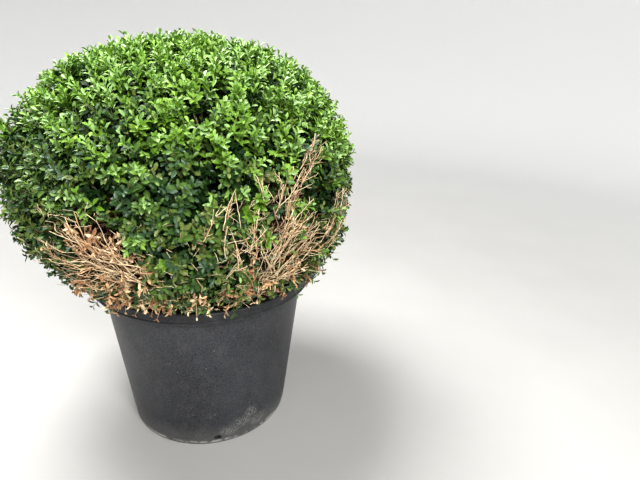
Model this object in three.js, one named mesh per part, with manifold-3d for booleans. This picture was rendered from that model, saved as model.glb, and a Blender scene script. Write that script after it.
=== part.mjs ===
// A clipped box shrub grown as a ball in a round nursery pot.
// Millimetres, +Z up. The origin is the centre of the pot's flat underside, which is where the
// plant stands. The view the sizes were taken from looks along +Y, with +X to the right.

import * as THREE from "three";
import { mergeVertices } from "three/addons/utils/BufferGeometryUtils.js";
import Module from "manifold-3d";

const wasm = await Module();
wasm.setup();

// Clearance kept between pieces that touch in the real plant
const GAP = 0.3;

// Corners nearer to each other than this are one corner
const MERGE_DISTANCE = 1e-3;

// Pot
const POT_HEIGHT = 365;
const POT_BASE_RADIUS = 182;
const POT_BODY_RADIUS = 221;
const POT_RIM_RADIUS = 240;
const POT_RIM_DEPTH = 25;
const POT_RIM_ROUNDING = 4;
const POT_FOOT_ROUNDING = 6;
const POT_WALL = 3.5;
const POT_FLOOR = 4;
const POT_SIDES = 56;
const RIM_BOTTOM = POT_HEIGHT - POT_RIM_DEPTH;

// Drain holes, low in the wall
const DRAIN_HOLES = 4;
const DRAIN_HOLE_WIDTH = 17;
const DRAIN_HOLE_HEIGHT = 12;
const DRAIN_HOLE_LEVEL = 19;
const DRAIN_HOLE_TURN = -88;
const DRAIN_HOLE_SIDES = 12;

// Handles: two ribs and a bar on each side, flaring out past the rim
const HANDLE_SPAN = 102;
const HANDLE_RIB = 4;
const HANDLE_REACH = 257;
const HANDLE_TOP = 397;
const HANDLE_BAR_WIDTH = 12;
const HANDLE_BAR_THICKNESS = 9;
const HANDLE_ROOM = 14;

// A rib's flaring outer edge, from its foot on the wall up to the bar: distance out, and level
const RIB_EDGE = [
  [206, 286],
  [239, 325],
  [250, 338],
  [256, 354],
];
const RIB_NECK = [236, POT_HEIGHT + GAP];

// Soil, a little below the rim and gently domed
const SOIL_EDGE_LEVEL = 326;
const SOIL_TOP_LEVEL = 333;
const SOIL_FLAT_RADIUS = 62;

// Stem, from its flat cut on the soil to the fork
const STEM_SIDES = 16;
const STEM_STEPS = 6;
const STEM_FOOT = new THREE.Vector3(-9, 6, SOIL_TOP_LEVEL + GAP);
const STEM_FORK = new THREE.Vector3(-3, 1, 384);
const STEM_FLARE_RADIUS = 37;
const STEM_FOOT_RADIUS = 25;
const STEM_FORK_RADIUS = 19;
const STEM_FLARE_SHARE = 0.32;

// Boughs: a low ring and a steep ring, each limb one tapering curve
const BOUGHS = 8;
const BOUGH_FIRST_AZIMUTH = 18;
const BOUGH_SWING = 7;
const BOUGH_SWING_WAVE = 2.3;
const BOUGH_EMBED = 16;
const BOUGH_SIDES = 9;
const BOUGH_STEPS = 7;
const LOW_BOUGH = { level: 366, reach: 148, knee: [44, 452], radius: 8.5, tip: 5.5 };
const STEEP_BOUGH = { level: 381, reach: 78, knee: [24, 470], radius: 10, tip: 6.5 };

// Crown: a clipped ball, flatter above than below, a little to the left of the pot's axis
const CROWN_CENTRE = new THREE.Vector3(-16, 0, 554);
const CROWN_RADIUS = 358;
const CROWN_RISE = 304;
const CROWN_DROP = 356;
const CROWN_UPPER_POWER = 2.13;
const CROWN_LOWER_POWER = 1.59;
const CROWN_AROUND = 60;
const CROWN_UP = 28;
const CROWN_LIP_LEVEL = 387;
const HOLLOW_RADIUS = 215;
const HOLLOW_RISE = 158;
const HOLLOW_STEPS = 6;
const HOLLOW_SIDES = 40;

// Swellings and dents of the clipped surface: azimuth, elevation, height, spread in degrees
const CROWN_LUMPS = [
  [-161, 20, 14, 11],
  [-161, 43, 4, 10],
  [-161, 62, -7, 13],
  [-60, 76, -3, 14],
  [-19, 30, -9, 11],
  [-19, 3, -12, 18],
  [-19, -21, 11, 12],
  [-161, -33, -9, 11],
  [-161, -14, 10, 9],
  [-105, 37, -17, 6],
  [-62, 27, -20, 7],
  [62, 34, -14, 9],
  [118, 12, 9, 15],
  [35, 8, 8, 14],
  [152, 48, -10, 11],
];
const CROWN_RIPPLES = [
  { height: 2.5, waves: new THREE.Vector3(5.1, 3.7, 6.3), phase: 0.6 },
  { height: 2.0, waves: new THREE.Vector3(-7.9, 8.3, 4.9), phase: 2.1 },
  { height: 1.5, waves: new THREE.Vector3(11.3, -9.7, 10.1), phase: 4.4 },
];

// Two patches of bare dead twigs, as outlines of azimuth and elevation seen from the crown's centre,
// clockwise as the viewer sees them
const DEAD_LEFT_OUTLINE = [
  [-131, 0], [-122, 6], [-111, 5], [-106, -5], [-103.5, -14], [-110, -22], [-119, -21], [-123, -9],
];
const DEAD_RIGHT_OUTLINE = [
  [-44, 23], [-45, 14], [-51, 4], [-50, -8], [-49, -22], [-60, -25], [-71, -20], [-73, -7],
  [-67, 9], [-57, 18],
];
const DEAD_SUNK = 14;
const DEAD_INNER_RADIUS = 240;
const DEAD_OUTER_RADIUS = 420;
const DEAD_OUTLINE_POINTS = 28;

const MATERIALS = {
  pot: new THREE.MeshStandardMaterial({ color: 0x2b2d31, roughness: 0.62, metalness: 0 }),
  soil: new THREE.MeshStandardMaterial({ color: 0x2e241c, roughness: 0.95, metalness: 0 }),
  bark: new THREE.MeshStandardMaterial({ color: 0x8a7a5e, roughness: 0.85, metalness: 0 }),
  foliage: new THREE.MeshStandardMaterial({ color: 0x3f7a24, roughness: 0.55, metalness: 0 }),
  deadTwigs: new THREE.MeshStandardMaterial({ color: 0xb98d5f, roughness: 0.85, metalness: 0 }),
};

const shrub = new THREE.Group();

// Solids

function toSolid(geometry) {
  const bare = geometry.clone();
  bare.deleteAttribute("normal");
  bare.deleteAttribute("uv");
  const merged = mergeVertices(bare, MERGE_DISTANCE);
  const corners = merged.index.array;
  const kept = [];
  for (let i = 0; i < corners.length; i += 3) {
    const [a, b, c] = [corners[i], corners[i + 1], corners[i + 2]];
    if (a !== b && b !== c && c !== a) {
      kept.push(a, b, c);
    }
  }
  return new wasm.Manifold(new wasm.Mesh({
    numProp: 3,
    vertProperties: new Float32Array(merged.attributes.position.array),
    triVerts: new Uint32Array(kept),
  }));
}

function addPiece(name, solid, material) {
  const shape = solid.getMesh();
  const geometry = new THREE.BufferGeometry();
  geometry.setAttribute("position", new THREE.BufferAttribute(shape.vertProperties, 3));
  geometry.setIndex(new THREE.BufferAttribute(shape.triVerts, 1));
  geometry.computeVertexNormals();
  const mesh = new THREE.Mesh(geometry, material);
  mesh.name = name;
  shrub.add(mesh);
}

// A profile of [radius, level] pairs turned about the Z axis
function turned(profile, sides = POT_SIDES) {
  const points = profile.map(([radius, level]) => new THREE.Vector2(radius, level));
  return toSolid(new THREE.LatheGeometry(points, sides).rotateX(Math.PI / 2));
}

function block(low, high) {
  const size = new THREE.Vector3().subVectors(high, low);
  const centre = new THREE.Vector3().addVectors(low, high).multiplyScalar(0.5);
  const box = new THREE.BoxGeometry(size.x, size.y, size.z);
  return toSolid(box.translate(centre.x, centre.y, centre.z));
}

// A round limb along a curve. radiusAt gives its radius from 0 at the foot to 1 at the tip, and
// extra makes it that much larger all over.
function limb(curve, radiusAt, sides, steps, extra = 0) {
  const profile = [new THREE.Vector2(0, 0)];
  for (let i = 0; i <= steps; i += 1) {
    profile.push(new THREE.Vector2(radiusAt(i / steps) + extra, i));
  }
  profile.push(new THREE.Vector2(0, steps));
  const geometry = new THREE.LatheGeometry(profile, sides);
  const frames = curve.computeFrenetFrames(steps, false);
  const place = geometry.attributes.position;
  const point = new THREE.Vector3();
  for (let i = 0; i < place.count; i += 1) {
    const step = Math.round(place.getY(i));
    const across = frames.normals[step];
    const beside = frames.binormals[step];
    curve.getPointAt(step / steps, point);
    point.addScaledVector(across, -place.getX(i));
    point.addScaledVector(beside, place.getZ(i));
    if (step === 0) {
      point.addScaledVector(frames.tangents[step], -extra);
    }
    if (step === steps) {
      point.addScaledVector(frames.tangents[step], extra);
    }
    place.setXYZ(i, point.x, point.y, point.z);
  }
  return toSolid(geometry);
}

function direction(azimuth, elevation) {
  const turn = THREE.MathUtils.degToRad(azimuth);
  const lift = THREE.MathUtils.degToRad(elevation);
  return new THREE.Vector3(
    Math.cos(lift) * Math.cos(turn),
    Math.cos(lift) * Math.sin(turn),
    Math.sin(lift),
  );
}

// Pot

function innerWallRadiusAt(level) {
  const share = (level - POT_FLOOR) / (RIM_BOTTOM - POT_FLOOR);
  return THREE.MathUtils.lerp(POT_BASE_RADIUS, POT_BODY_RADIUS, share) - POT_WALL;
}

function makePot() {
  const profile = [[0, 0]];
  const footSteps = 3;
  for (let i = 0; i <= footSteps; i += 1) {
    const angle = (i / footSteps) * (Math.PI / 2);
    profile.push([
      POT_BASE_RADIUS - POT_FOOT_ROUNDING * (1 - Math.sin(angle)),
      POT_FOOT_ROUNDING * (1 - Math.cos(angle)),
    ]);
  }
  profile.push(
    [POT_BODY_RADIUS, RIM_BOTTOM],
    [POT_RIM_RADIUS - POT_RIM_ROUNDING / 2, RIM_BOTTOM],
    [POT_RIM_RADIUS, RIM_BOTTOM + POT_RIM_ROUNDING / 2],
    [POT_RIM_RADIUS, POT_HEIGHT - POT_RIM_ROUNDING],
    [POT_RIM_RADIUS - POT_RIM_ROUNDING, POT_HEIGHT],
    [POT_BODY_RADIUS, POT_HEIGHT],
    [POT_BODY_RADIUS - POT_WALL, POT_HEIGHT - POT_RIM_ROUNDING],
    [POT_BODY_RADIUS - POT_WALL, RIM_BOTTOM],
    [POT_BASE_RADIUS - POT_WALL, POT_FLOOR],
    [0, POT_FLOOR],
  );
  let pot = turned(profile);
  for (let i = 0; i < DRAIN_HOLES; i += 1) {
    const angle = THREE.MathUtils.degToRad(DRAIN_HOLE_TURN + (360 * i) / DRAIN_HOLES);
    const hole = new THREE.CylinderGeometry(0.5, 0.5, 4 * POT_WALL, DRAIN_HOLE_SIDES);
    hole.rotateZ(Math.PI / 2);
    hole.scale(1, DRAIN_HOLE_WIDTH, DRAIN_HOLE_HEIGHT);
    hole.translate(POT_BASE_RADIUS - POT_WALL / 2, 0, DRAIN_HOLE_LEVEL);
    hole.rotateZ(angle);
    pot = pot.subtract(toSolid(hole));
  }
  return pot;
}

// The pot as if it were full, grown by the clearance, to cut what leans on its outside
function potEnvelope() {
  return turned([
    [0, -GAP],
    [POT_BASE_RADIUS + GAP, -GAP],
    [POT_BODY_RADIUS + GAP, RIM_BOTTOM - GAP],
    [POT_RIM_RADIUS + GAP, RIM_BOTTOM - GAP],
    [POT_RIM_RADIUS + GAP, POT_HEIGHT + GAP],
    [0, POT_HEIGHT + GAP],
  ]);
}

// One handle on the +X side: two upright ribs that flare from the wall, joined by a bar
function makeHandle() {
  const barInner = HANDLE_REACH - HANDLE_BAR_WIDTH;
  const barBottom = HANDLE_TOP - HANDLE_BAR_THICKNESS;
  const outline = [
    [POT_BASE_RADIUS, RIB_EDGE[0][1]],
    ...RIB_EDGE,
    [HANDLE_REACH, HANDLE_TOP],
    [barInner, HANDLE_TOP],
    [barInner, barBottom],
    RIB_NECK,
    [POT_BASE_RADIUS, POT_HEIGHT + GAP],
  ];
  const plate = new THREE.Shape(outline.map(([out, level]) => new THREE.Vector2(out, level)));
  let handle = block(
    new THREE.Vector3(barInner, -HANDLE_SPAN / 2, barBottom),
    new THREE.Vector3(HANDLE_REACH, HANDLE_SPAN / 2, HANDLE_TOP),
  );
  for (const side of [-1, 1]) {
    const rib = new THREE.ExtrudeGeometry(plate, { depth: HANDLE_RIB, bevelEnabled: false });
    rib.rotateX(Math.PI / 2);
    rib.translate(0, (side * HANDLE_SPAN) / 2 + HANDLE_RIB / 2, 0);
    handle = handle.add(toSolid(rib));
  }
  return handle.subtract(potEnvelope());
}

// The free space that a hand needs round one handle, which the foliage keeps clear of
function makeHandleRoom() {
  const besides = HANDLE_SPAN / 2 + HANDLE_ROOM;
  return block(
    new THREE.Vector3(POT_BODY_RADIUS, -besides, RIM_BOTTOM),
    new THREE.Vector3(HANDLE_REACH + HANDLE_ROOM, besides, HANDLE_TOP + HANDLE_ROOM),
  );
}

function makeSoil() {
  const floor = POT_FLOOR + GAP;
  return turned([
    [0, floor],
    [innerWallRadiusAt(floor) - GAP, floor],
    [innerWallRadiusAt(SOIL_EDGE_LEVEL) - GAP, SOIL_EDGE_LEVEL],
    [SOIL_FLAT_RADIUS, SOIL_TOP_LEVEL],
    [0, SOIL_TOP_LEVEL],
  ]);
}

// Stem and boughs

function stemRadiusAt(share) {
  const taper = THREE.MathUtils.lerp(STEM_FOOT_RADIUS, STEM_FORK_RADIUS, share);
  const flare = (STEM_FLARE_RADIUS - STEM_FOOT_RADIUS) * Math.exp(-share / STEM_FLARE_SHARE);
  return taper + flare;
}

function makeStem(extra = 0) {
  const curve = new THREE.LineCurve3(STEM_FOOT, STEM_FORK);
  const stem = limb(curve, stemRadiusAt, STEM_SIDES, STEM_STEPS, extra);
  const foot = STEM_FOOT.z;
  const reach = 2 * STEM_FLARE_RADIUS;
  const below = block(
    new THREE.Vector3(-reach, -reach, foot - reach),
    new THREE.Vector3(reach, reach, foot),
  );
  return stem.subtract(below);
}

function hollowLevelAt(radius) {
  return CROWN_LIP_LEVEL + HOLLOW_RISE * Math.sqrt(1 - (radius / HOLLOW_RADIUS) ** 2);
}

function boughCurve(number) {
  const kind = number % 2 === 0 ? LOW_BOUGH : STEEP_BOUGH;
  const swing = BOUGH_SWING * Math.sin(BOUGH_SWING_WAVE * number);
  const turn = THREE.MathUtils.degToRad(BOUGH_FIRST_AZIMUTH + (360 * number) / BOUGHS + swing);
  const at = (radius, level) => new THREE.Vector3(
    radius * Math.cos(turn),
    radius * Math.sin(turn),
    level,
  );
  const root = new THREE.Vector3(STEM_FORK.x, STEM_FORK.y, kind.level);
  const knee = at(kind.knee[0], kind.knee[1]);
  const entry = at(kind.reach, hollowLevelAt(kind.reach));
  const inward = new THREE.Vector3().subVectors(entry, knee).normalize();
  entry.addScaledVector(inward, BOUGH_EMBED);
  return { curve: new THREE.QuadraticBezierCurve3(root, knee, entry), kind };
}

function makeBough(number, extra = 0) {
  const { curve, kind } = boughCurve(number);
  const radiusAt = (share) => THREE.MathUtils.lerp(kind.radius, kind.tip, share);
  return limb(curve, radiusAt, BOUGH_SIDES, BOUGH_STEPS, extra);
}

// Crown

function crownReach(toward, sunk) {
  const flat = Math.hypot(toward.x, toward.y) / CROWN_RADIUS;
  const upper = toward.z >= 0;
  const steep = Math.abs(toward.z) / (upper ? CROWN_RISE : CROWN_DROP);
  const power = upper ? CROWN_UPPER_POWER : CROWN_LOWER_POWER;
  let reach = (flat ** power + steep ** power) ** (-1 / power);
  for (const [azimuth, elevation, height, spread] of CROWN_LUMPS) {
    const away = THREE.MathUtils.radToDeg(toward.angleTo(direction(azimuth, elevation)));
    reach += height * Math.exp(-((away / spread) ** 2));
  }
  for (const { height, waves, phase } of CROWN_RIPPLES) {
    reach += height * Math.sin(waves.dot(toward) + phase);
  }
  return reach - sunk;
}

function makeBall(sunk = 0) {
  const ball = new THREE.SphereGeometry(1, CROWN_AROUND, CROWN_UP).rotateX(Math.PI / 2);
  const place = ball.attributes.position;
  const point = new THREE.Vector3();
  for (let i = 0; i < place.count; i += 1) {
    point.fromBufferAttribute(place, i).normalize();
    point.multiplyScalar(crownReach(point, sunk)).add(CROWN_CENTRE);
    place.setXYZ(i, point.x, point.y, point.z);
  }
  return toSolid(ball);
}

// What is open under the crown: all below its lip, and the domed hollow that the boughs stand in
function underCrown() {
  const far = 2 * CROWN_RADIUS;
  const profile = [[0, 0], [far, 0], [far, CROWN_LIP_LEVEL]];
  for (let i = 0; i < HOLLOW_STEPS; i += 1) {
    const angle = (i / HOLLOW_STEPS) * (Math.PI / 2);
    const radius = HOLLOW_RADIUS * Math.cos(angle);
    profile.push([radius, hollowLevelAt(radius)]);
  }
  profile.push([0, CROWN_LIP_LEVEL + HOLLOW_RISE]);
  return turned(profile, HOLLOW_SIDES);
}

// A plug through the crown's skin with a patch's outline. grow widens it, in millimetres.
function patchPlug(outline, grow) {
  const points = outline.map(([azimuth, elevation]) => new THREE.Vector2(azimuth, elevation));
  const rim = new THREE.SplineCurve([...points, points[0]]).getPoints(DEAD_OUTLINE_POINTS);
  rim.pop();
  const degrees = THREE.MathUtils.radToDeg(grow / DEAD_INNER_RADIUS);
  const widened = rim.map((point, i) => {
    const before = rim[(i + rim.length - 1) % rim.length];
    const after = rim[(i + 1) % rim.length];
    const along = new THREE.Vector2().subVectors(after, before).normalize();
    return new THREE.Vector2(point.x - along.y * degrees, point.y + along.x * degrees);
  });
  const shape = new THREE.Shape(widened);
  const plug = new THREE.ExtrudeGeometry(shape, { depth: 1, bevelEnabled: false });
  const place = plug.attributes.position;
  for (let i = 0; i < place.count; i += 1) {
    const toward = direction(place.getX(i), place.getY(i));
    const reach = place.getZ(i) > 0.5 ? DEAD_OUTER_RADIUS : DEAD_INNER_RADIUS - grow;
    toward.multiplyScalar(reach).add(CROWN_CENTRE);
    place.setXYZ(i, toward.x, toward.y, toward.z);
  }
  return toSolid(plug);
}

// The plant, put together from the pot upwards

addPiece("pot", makePot(), MATERIALS.pot);
const handle = makeHandle();
addPiece("handle_right", handle, MATERIALS.pot);
addPiece("handle_left", handle.rotate([0, 0, 180]), MATERIALS.pot);
addPiece("soil", makeSoil(), MATERIALS.soil);
addPiece("stem", makeStem(), MATERIALS.bark);

let taken = makeStem(GAP);
for (let number = 0; number < BOUGHS; number += 1) {
  addPiece(`bough_${number + 1}`, makeBough(number).subtract(taken), MATERIALS.bark);
  taken = taken.add(makeBough(number, GAP));
}

const handleRoom = makeHandleRoom();
let crown = makeBall().subtract(underCrown().add(taken));
crown = crown.subtract(handleRoom).subtract(handleRoom.rotate([0, 0, 180]));
const deadBall = makeBall(DEAD_SUNK);
const patches = { dead_twigs_left: DEAD_LEFT_OUTLINE, dead_twigs_right: DEAD_RIGHT_OUTLINE };
for (const [name, outline] of Object.entries(patches)) {
  crown = crown.subtract(patchPlug(outline, GAP));
  addPiece(name, patchPlug(outline, 0).intersect(deadBall), MATERIALS.deadTwigs);
}
addPiece("crown", crown, MATERIALS.foliage);

export default shrub;
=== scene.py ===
"""A clipped box shrub grown as a ball in a round nursery pot.

Metres, +Z up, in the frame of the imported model: the pot stands on z = 0 and the main view looks
along +Y, with +X to the right. Branches grow on from the boughs by a seeded rule, and the shoots
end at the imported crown's surface. Directions on the crown are an azimuth, from +X towards +Y, and
an elevation, both in degrees and seen from the crown's centre.
"""

import math
from functools import lru_cache

import bmesh
import bpy
import numpy as np
from mathutils import Matrix, Vector, noise
from mathutils.bvhtree import BVHTree
from mathutils.kdtree import KDTree


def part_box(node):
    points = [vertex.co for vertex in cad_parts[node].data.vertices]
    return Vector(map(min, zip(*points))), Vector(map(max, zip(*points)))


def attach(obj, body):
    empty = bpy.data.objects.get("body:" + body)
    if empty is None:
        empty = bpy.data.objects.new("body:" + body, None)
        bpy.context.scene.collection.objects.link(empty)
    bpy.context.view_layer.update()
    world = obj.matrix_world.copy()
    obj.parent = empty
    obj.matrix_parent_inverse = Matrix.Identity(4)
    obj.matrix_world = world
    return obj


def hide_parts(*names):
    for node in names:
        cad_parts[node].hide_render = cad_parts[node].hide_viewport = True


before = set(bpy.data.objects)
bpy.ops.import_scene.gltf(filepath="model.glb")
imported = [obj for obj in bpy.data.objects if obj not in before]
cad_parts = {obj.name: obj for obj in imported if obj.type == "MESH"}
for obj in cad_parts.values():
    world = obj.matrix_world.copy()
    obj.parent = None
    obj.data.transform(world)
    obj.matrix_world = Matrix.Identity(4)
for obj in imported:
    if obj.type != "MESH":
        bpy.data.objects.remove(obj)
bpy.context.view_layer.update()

bl_info = {
    "name": "Potted box ball",
    "version": (1, 0, 0),
    "blender": (4, 5, 0),
    "location": "View3D > Sidebar > Box ball",
    "description": "Makes a clipped box ball with its pot, limbs, twigs and leaves",
    "category": "Add Mesh",
}

BODY = "root"
UP = np.array([0.0, 0.0, 1.0])
RIGHT = np.array([1.0, 0.0, 0.0])
STEEP = 0.8
GOLDEN_ANGLE = math.pi * (3 - math.sqrt(5))
MOST_TRIANGLES = 190_000

# The crown's skin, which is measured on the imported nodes
CROWN_CENTRE = np.array([-0.016, 0.0, 0.554])
OUTSIDE = 0.7
CROWN_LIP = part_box("crown")[0].z
LIP_MARGIN = 0.004
LEAST_FACING = 0.2

# A zone of the skin is the number of its node here
ZONE_NODES = ("crown", "dead_twigs_left", "dead_twigs_right")
GREEN, DEAD_LEFT = range(2)

# Stem and boughs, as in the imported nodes
STEM_FOOT = np.array([-0.009, 0.006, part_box("soil")[1].z])
STEM_FORK = np.array([-0.003, 0.001, 0.384])
STEM_RADII = (0.025, 0.019)
STEM_FLARE = 0.012
STEM_FLARE_SHARE = 0.32
HOLLOW_RADIUS = 0.215
HOLLOW_RISE = 0.158
BOUGHS = 8
BOUGH_FIRST_AZIMUTH = 18
BOUGH_SWING = 7
BOUGH_SWING_WAVE = 2.3
BOUGH_EMBED = 0.016
LOW_BOUGH = {"level": 0.366, "reach": 0.148, "knee": (0.044, 0.452), "radii": (0.0085, 0.0055)}
STEEP_BOUGH = {"level": 0.381, "reach": 0.078, "knee": (0.024, 0.470), "radii": (0.010, 0.0065)}

# The branching rule: limbs leave the boughs, branches leave the limbs and twigs leave the branches.
# count is over a whole sphere, depth a share of the crown's reach, and starts shares of the parent
LIMBS = {
    "count": 70, "depth": 0.48, "lowest": -12, "starts": (0.8, 1), "steps": 6, "sides": 7,
    "radii": (0.0040, 0.0022),
}
BRANCHES = {
    "count": 470, "depth": 0.75, "lowest": -30, "starts": (0.45, 1), "steps": 5, "sides": 5,
    "radii": (0.0021, 0.0012),
}
FORK_JITTER = 0.25
FORK_DEPTHS = (0.92, 1.08)
FORK_CLIMB = 0.25
BOUGH_PARENT_STEPS = 8
TWIG_STARTS = (0.5, 1)
TWIG_BENDS = 2
TWIG_SIDES = 3
TWIG_RADII = (0.0011, 0.0008)
SHOOT_RADII = (0.0008, 0.0004)
BEND = 0.36

# Kinds of leafy shoot
NEW, OLD, INNER, DRY, WITHERED = range(5)

# Shoots stand in tufts, highest in the middle, and deep ones between them close the crown
TUFT_SHOOTS = (2, 5)
TUFT_JITTER = 0.35
TUFT_RADIUS = 0.014
TUFT_DOME = 0.010
TUFT_FAN = 0.55
CROWN_REACH = 0.35
DEEP_JITTER = 0.4

# Where the shoots end, in metres out from the skin, and what lowers or raises them. A spot is an
# azimuth, an elevation and a spread in degrees, and metres
OUTER_TIPS = (-0.010, 0.002)
DEEP_TIPS = (-0.044, -0.020)
TOP_DIP = 0.006
TOP_ELEVATIONS = (50, 75)
SHOULDER_DIP = ((-168, 38, 22, 0.009),)
OLD_DIP = 0.004
PATCH_DIP = 0.010
PATCH_SPRIG_RISE = 0.026
TALL_SHARE = 0.03
TALL_LOWEST = 25
TALL_RISE = (0.006, 0.018)
TALL_SPOTS = ((-128, 62, 2.4, 0.032),)

# Young shoots grow high on the crown. A slow noise moves their lower edge by some degrees
YOUNG_ELEVATIONS = (-7, 37)
YOUNG_POWER = 1.45
YOUNG_WANDER = 16
YOUNG_WANDER_SCALE = 3.1
YOUNG_WHEN_DEEP = 0.35
STRAY_SHARE = 0.12

# The share of shoots that still live over the left dead patch and over the right one
LIVING_LEFT, LIVING_RIGHT = 0.02, 0.36

# How the shoots head: they climb, more so high up, and hang near the crown's lip
LEAST_CLIMB, ADDED_CLIMB = 0.15, 0.55
CLIMB_ELEVATIONS = (-20, 35)
LIP_ROOM = 0.075
LIP_HANG = 1.2
LIP_LIFT = 0.012
LEADER_SCATTER = 0.2

# Lengths of the shoots, and pairs of leaves from the first number to one below the second
NEW_LENGTHS, NEW_PAIRS = (0.034, 0.052), (4, 7)
OLD_LENGTHS, OLD_PAIRS = (0.028, 0.042), (3, 5)
SHADY_SHARE = 0.7

# Side shoots, which leave a share of the live twigs and stay below the skin
SIDE_SHARE = 0.7
SIDE_STARTS = (0.5, 0.95)
SIDE_ANGLES = (0.5, 1.0)
SIDE_CLIMB = 0.2
SIDE_YOUNG = 0.5
SIDE_LENGTHS = (0.026, 0.042)
SIDE_NEW_PAIRS, SIDE_OLD_PAIRS = (3, 6), (2, 5)
SIDE_DEPTH = 0.016

# Shaded shoots inside the crown
INNER_JITTER = 0.4
INNER_DEPTHS = (0.048, 0.100)
INNER_PATCH_DEPTH = 0.008
INNER_SCATTER = 0.6
INNER_LENGTHS, INNER_PAIRS = (0.030, 0.042), (4, 6)

# Shoots that hang over the pot's rim, measured out from the pot's middle and up from the lip
FRINGE_JITTER = 1.5
FRINGE_ELEVATION = -28.0
FRINGE_RADII = (0.215, 0.275)
FRINGE_LEVELS = (0.020, 0.042)
FRINGE_OUT, FRINGE_DOWN = (0.4, 1.1), (0.1, 0.8)
FRINGE_SCATTER = 0.3
FRINGE_FRONT = (0.3, 0.8)
FRINGE_DRY, FRINGE_DRY_FRONT = 0.05, 0.10
FRINGE_LENGTHS, FRINGE_PAIRS = (0.022, 0.036), (3, 5)

# Clusters of dry shoots. PATCH_REACH bounds how far from the centre a dead patch's skin may lie
PATCH_REACH = (0.27, 0.37)
DRY_FLATTEN = 0.7
DRY_OUT, DRY_SCATTER, DRY_DROOP = 0.7, 0.5, 0.25
DRY_TIPS = (-0.034, -0.014)
DRY_LENGTHS, DRY_PAIRS = (0.018, 0.034), (2, 5)

# Where the skin has bright sprigs among the old leaves: azimuth, elevation
SPRIG_SPOTS = (
    (-122, 10), (-115, 9), (-102, 12), (-104, 1), (-107, -5), (-98, -8), (-126, 13), (-131, 6),
    (-85, 22), (-97, 17), (-109, 17), (-114, 21), (-117, 17), (-90, 16), (-81, 17),
    (-56, -4), (-52, 4), (-139, 2), (-78, -15), (-77, 15), (-40, 4), (-36, -4), (-101, -20),
    (-43, -12), (-34, 12), (-39, 18), (-55, -16), (-118, -26), (-112, 13), (-71, 18),
    (-66, 14), (-74, -6), (-75, -12), (-50, 18), (-64, 2), (-69, -3), (-60, -9),
)
SPRIG_SPREAD = 1.9

# Where old leaves show deep between new shoots, partly as painted shade on the left side: azimuth,
# elevation, spread, strength
HOLLOW_AND_PAINTED_SHADE_SPOTS = (
    (-107, 37, 4, 0.4), (-61, 27, 8, 0.4), (-88, 30, 4, 0.3), (-152, 12, 20, 0.9),
    (-70, 12, 8, 0.3), (-94, 6, 8, 0.85), (-107, 6, 6, 0.8), (-131, 17, 9, 0.75),
    (-52, 14, 8, 0.5), (-81, 3, 7, 0.8),
)

# Where the leaves are thin and bare twigs show between them
THIN_SPOTS = (
    (-83, 2, 4, 0.6), (-79, -8, 5, 0.6), (-136, -14, 8, 0.45), (-64, 13, 6, 0.35),
    (-74, -8, 5, 0.6), (-48, -4, 5, 0.5), (-69, -22, 6, 0.6), (-59, -22, 6, 0.6),
    (-76, 6, 4, 0.45), (-68, 11, 4, 0.5),
)

# Bundles of bare dead stems: azimuth and elevation of the root and of the tip, and stems
LEFT_BUNDLES = (
    ((-107, -13), (-124, 0), 7), ((-110, -16), (-131, -3), 7), ((-113, -22), (-129, -6), 6),
    ((-105, -10), (-117, 0), 4), ((-103, -11), (-112, -2), 2), ((-118, -21), (-130, -9), 4),
    ((-102, -17), (-116, -5), 7), ((-106, -21), (-122, -6), 6), ((-105, -8), (-124, 1), 2),
    ((-114, -13), (-133, -2), 3), ((-118, -15), (-124, -2), 3), ((-110, -20), (-115, -6), 3),
)
RIGHT_BUNDLES = (
    ((-69, -26), (-70, 1), 5), ((-67, -22), (-65, 2), 6), ((-64, -20), (-63, 4), 5),
    ((-60, -18), (-65, 2), 4), ((-58, -19), (-58, 0), 5), ((-62, -9), (-59, 9), 2),
    ((-54, -18), (-53, 1), 5), ((-55, -21), (-49, -4), 4), ((-54, -12), (-51, 4), 3),
    ((-47, -11), (-44, 1), 4), ((-73, -10), (-72, 5), 3), ((-69, -4), (-74, 8), 2),
    ((-58, -6), (-62, 8), 2), ((-66, -28), (-56, -15), 5), ((-50, -20), (-42, -8), 3),
)
STRAND_BUNDLES = (
    ((-65, 3), (-59, 11), 4), ((-61, 8), (-54, 15), 5), ((-57, 13), (-44, 21), 5),
    ((-70, 6), (-68, 16), 3), ((-65, 6), (-63, 17), 3), ((-46, -8), (-40, 7), 4),
)
MIDDLE_BUNDLES = (
    ((-80, 2), (-80, 10), 3), ((-85, 0), (-86, 8), 2), ((-81, -6), (-79, 4), 4),
    ((-77, -12), (-76, 0), 4), ((-75, -8), (-73, 5), 3), ((-80, -16), (-77, -5), 3),
    ((-76, 2), (-74, 11), 2),
)

# Clusters of dry leaves: azimuth, elevation, spread, shoots
DRY_CLUSTERS = (
    (-122, -1, 2, 5), (-117, -1, 2, 7), (-111, -3, 2, 8), (-118, -5, 3, 4), (-127, -6, 3, 2),
    (-113, -18, 3.5, 8), (-116, -23, 3.5, 20), (-107, -23, 3, 12), (-122, -19, 3, 8),
    (-100, -25, 2.5, 9), (-91, -24, 1.8, 8), (-71, -24, 3, 9), (-64, -24, 3, 6), (-127, -21, 2, 5),
    (-108, -9, 3, 4), (-53, -17, 5, 9), (-78, -24, 2, 3), (-66, -8, 6, 5), (-58, -3, 6, 5),
)


# Vectors

def unit(vectors):
    return vectors / np.maximum(np.linalg.norm(vectors, axis=-1, keepdims=True), 1e-9)


def dot(first, second):
    return np.sum(first * second, axis=-1, keepdims=True)


def square_to(vectors, others):
    """The part of each vector that is square to the other one, as a unit vector."""
    return unit(vectors - dot(vectors, others) * others)


def helper_for(axes):
    """For each axis a fixed direction that isn't near it: up, or right where the axis is steep."""
    return np.where(np.abs(axes[..., 2:3]) < STEEP, UP, RIGHT)


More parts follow.
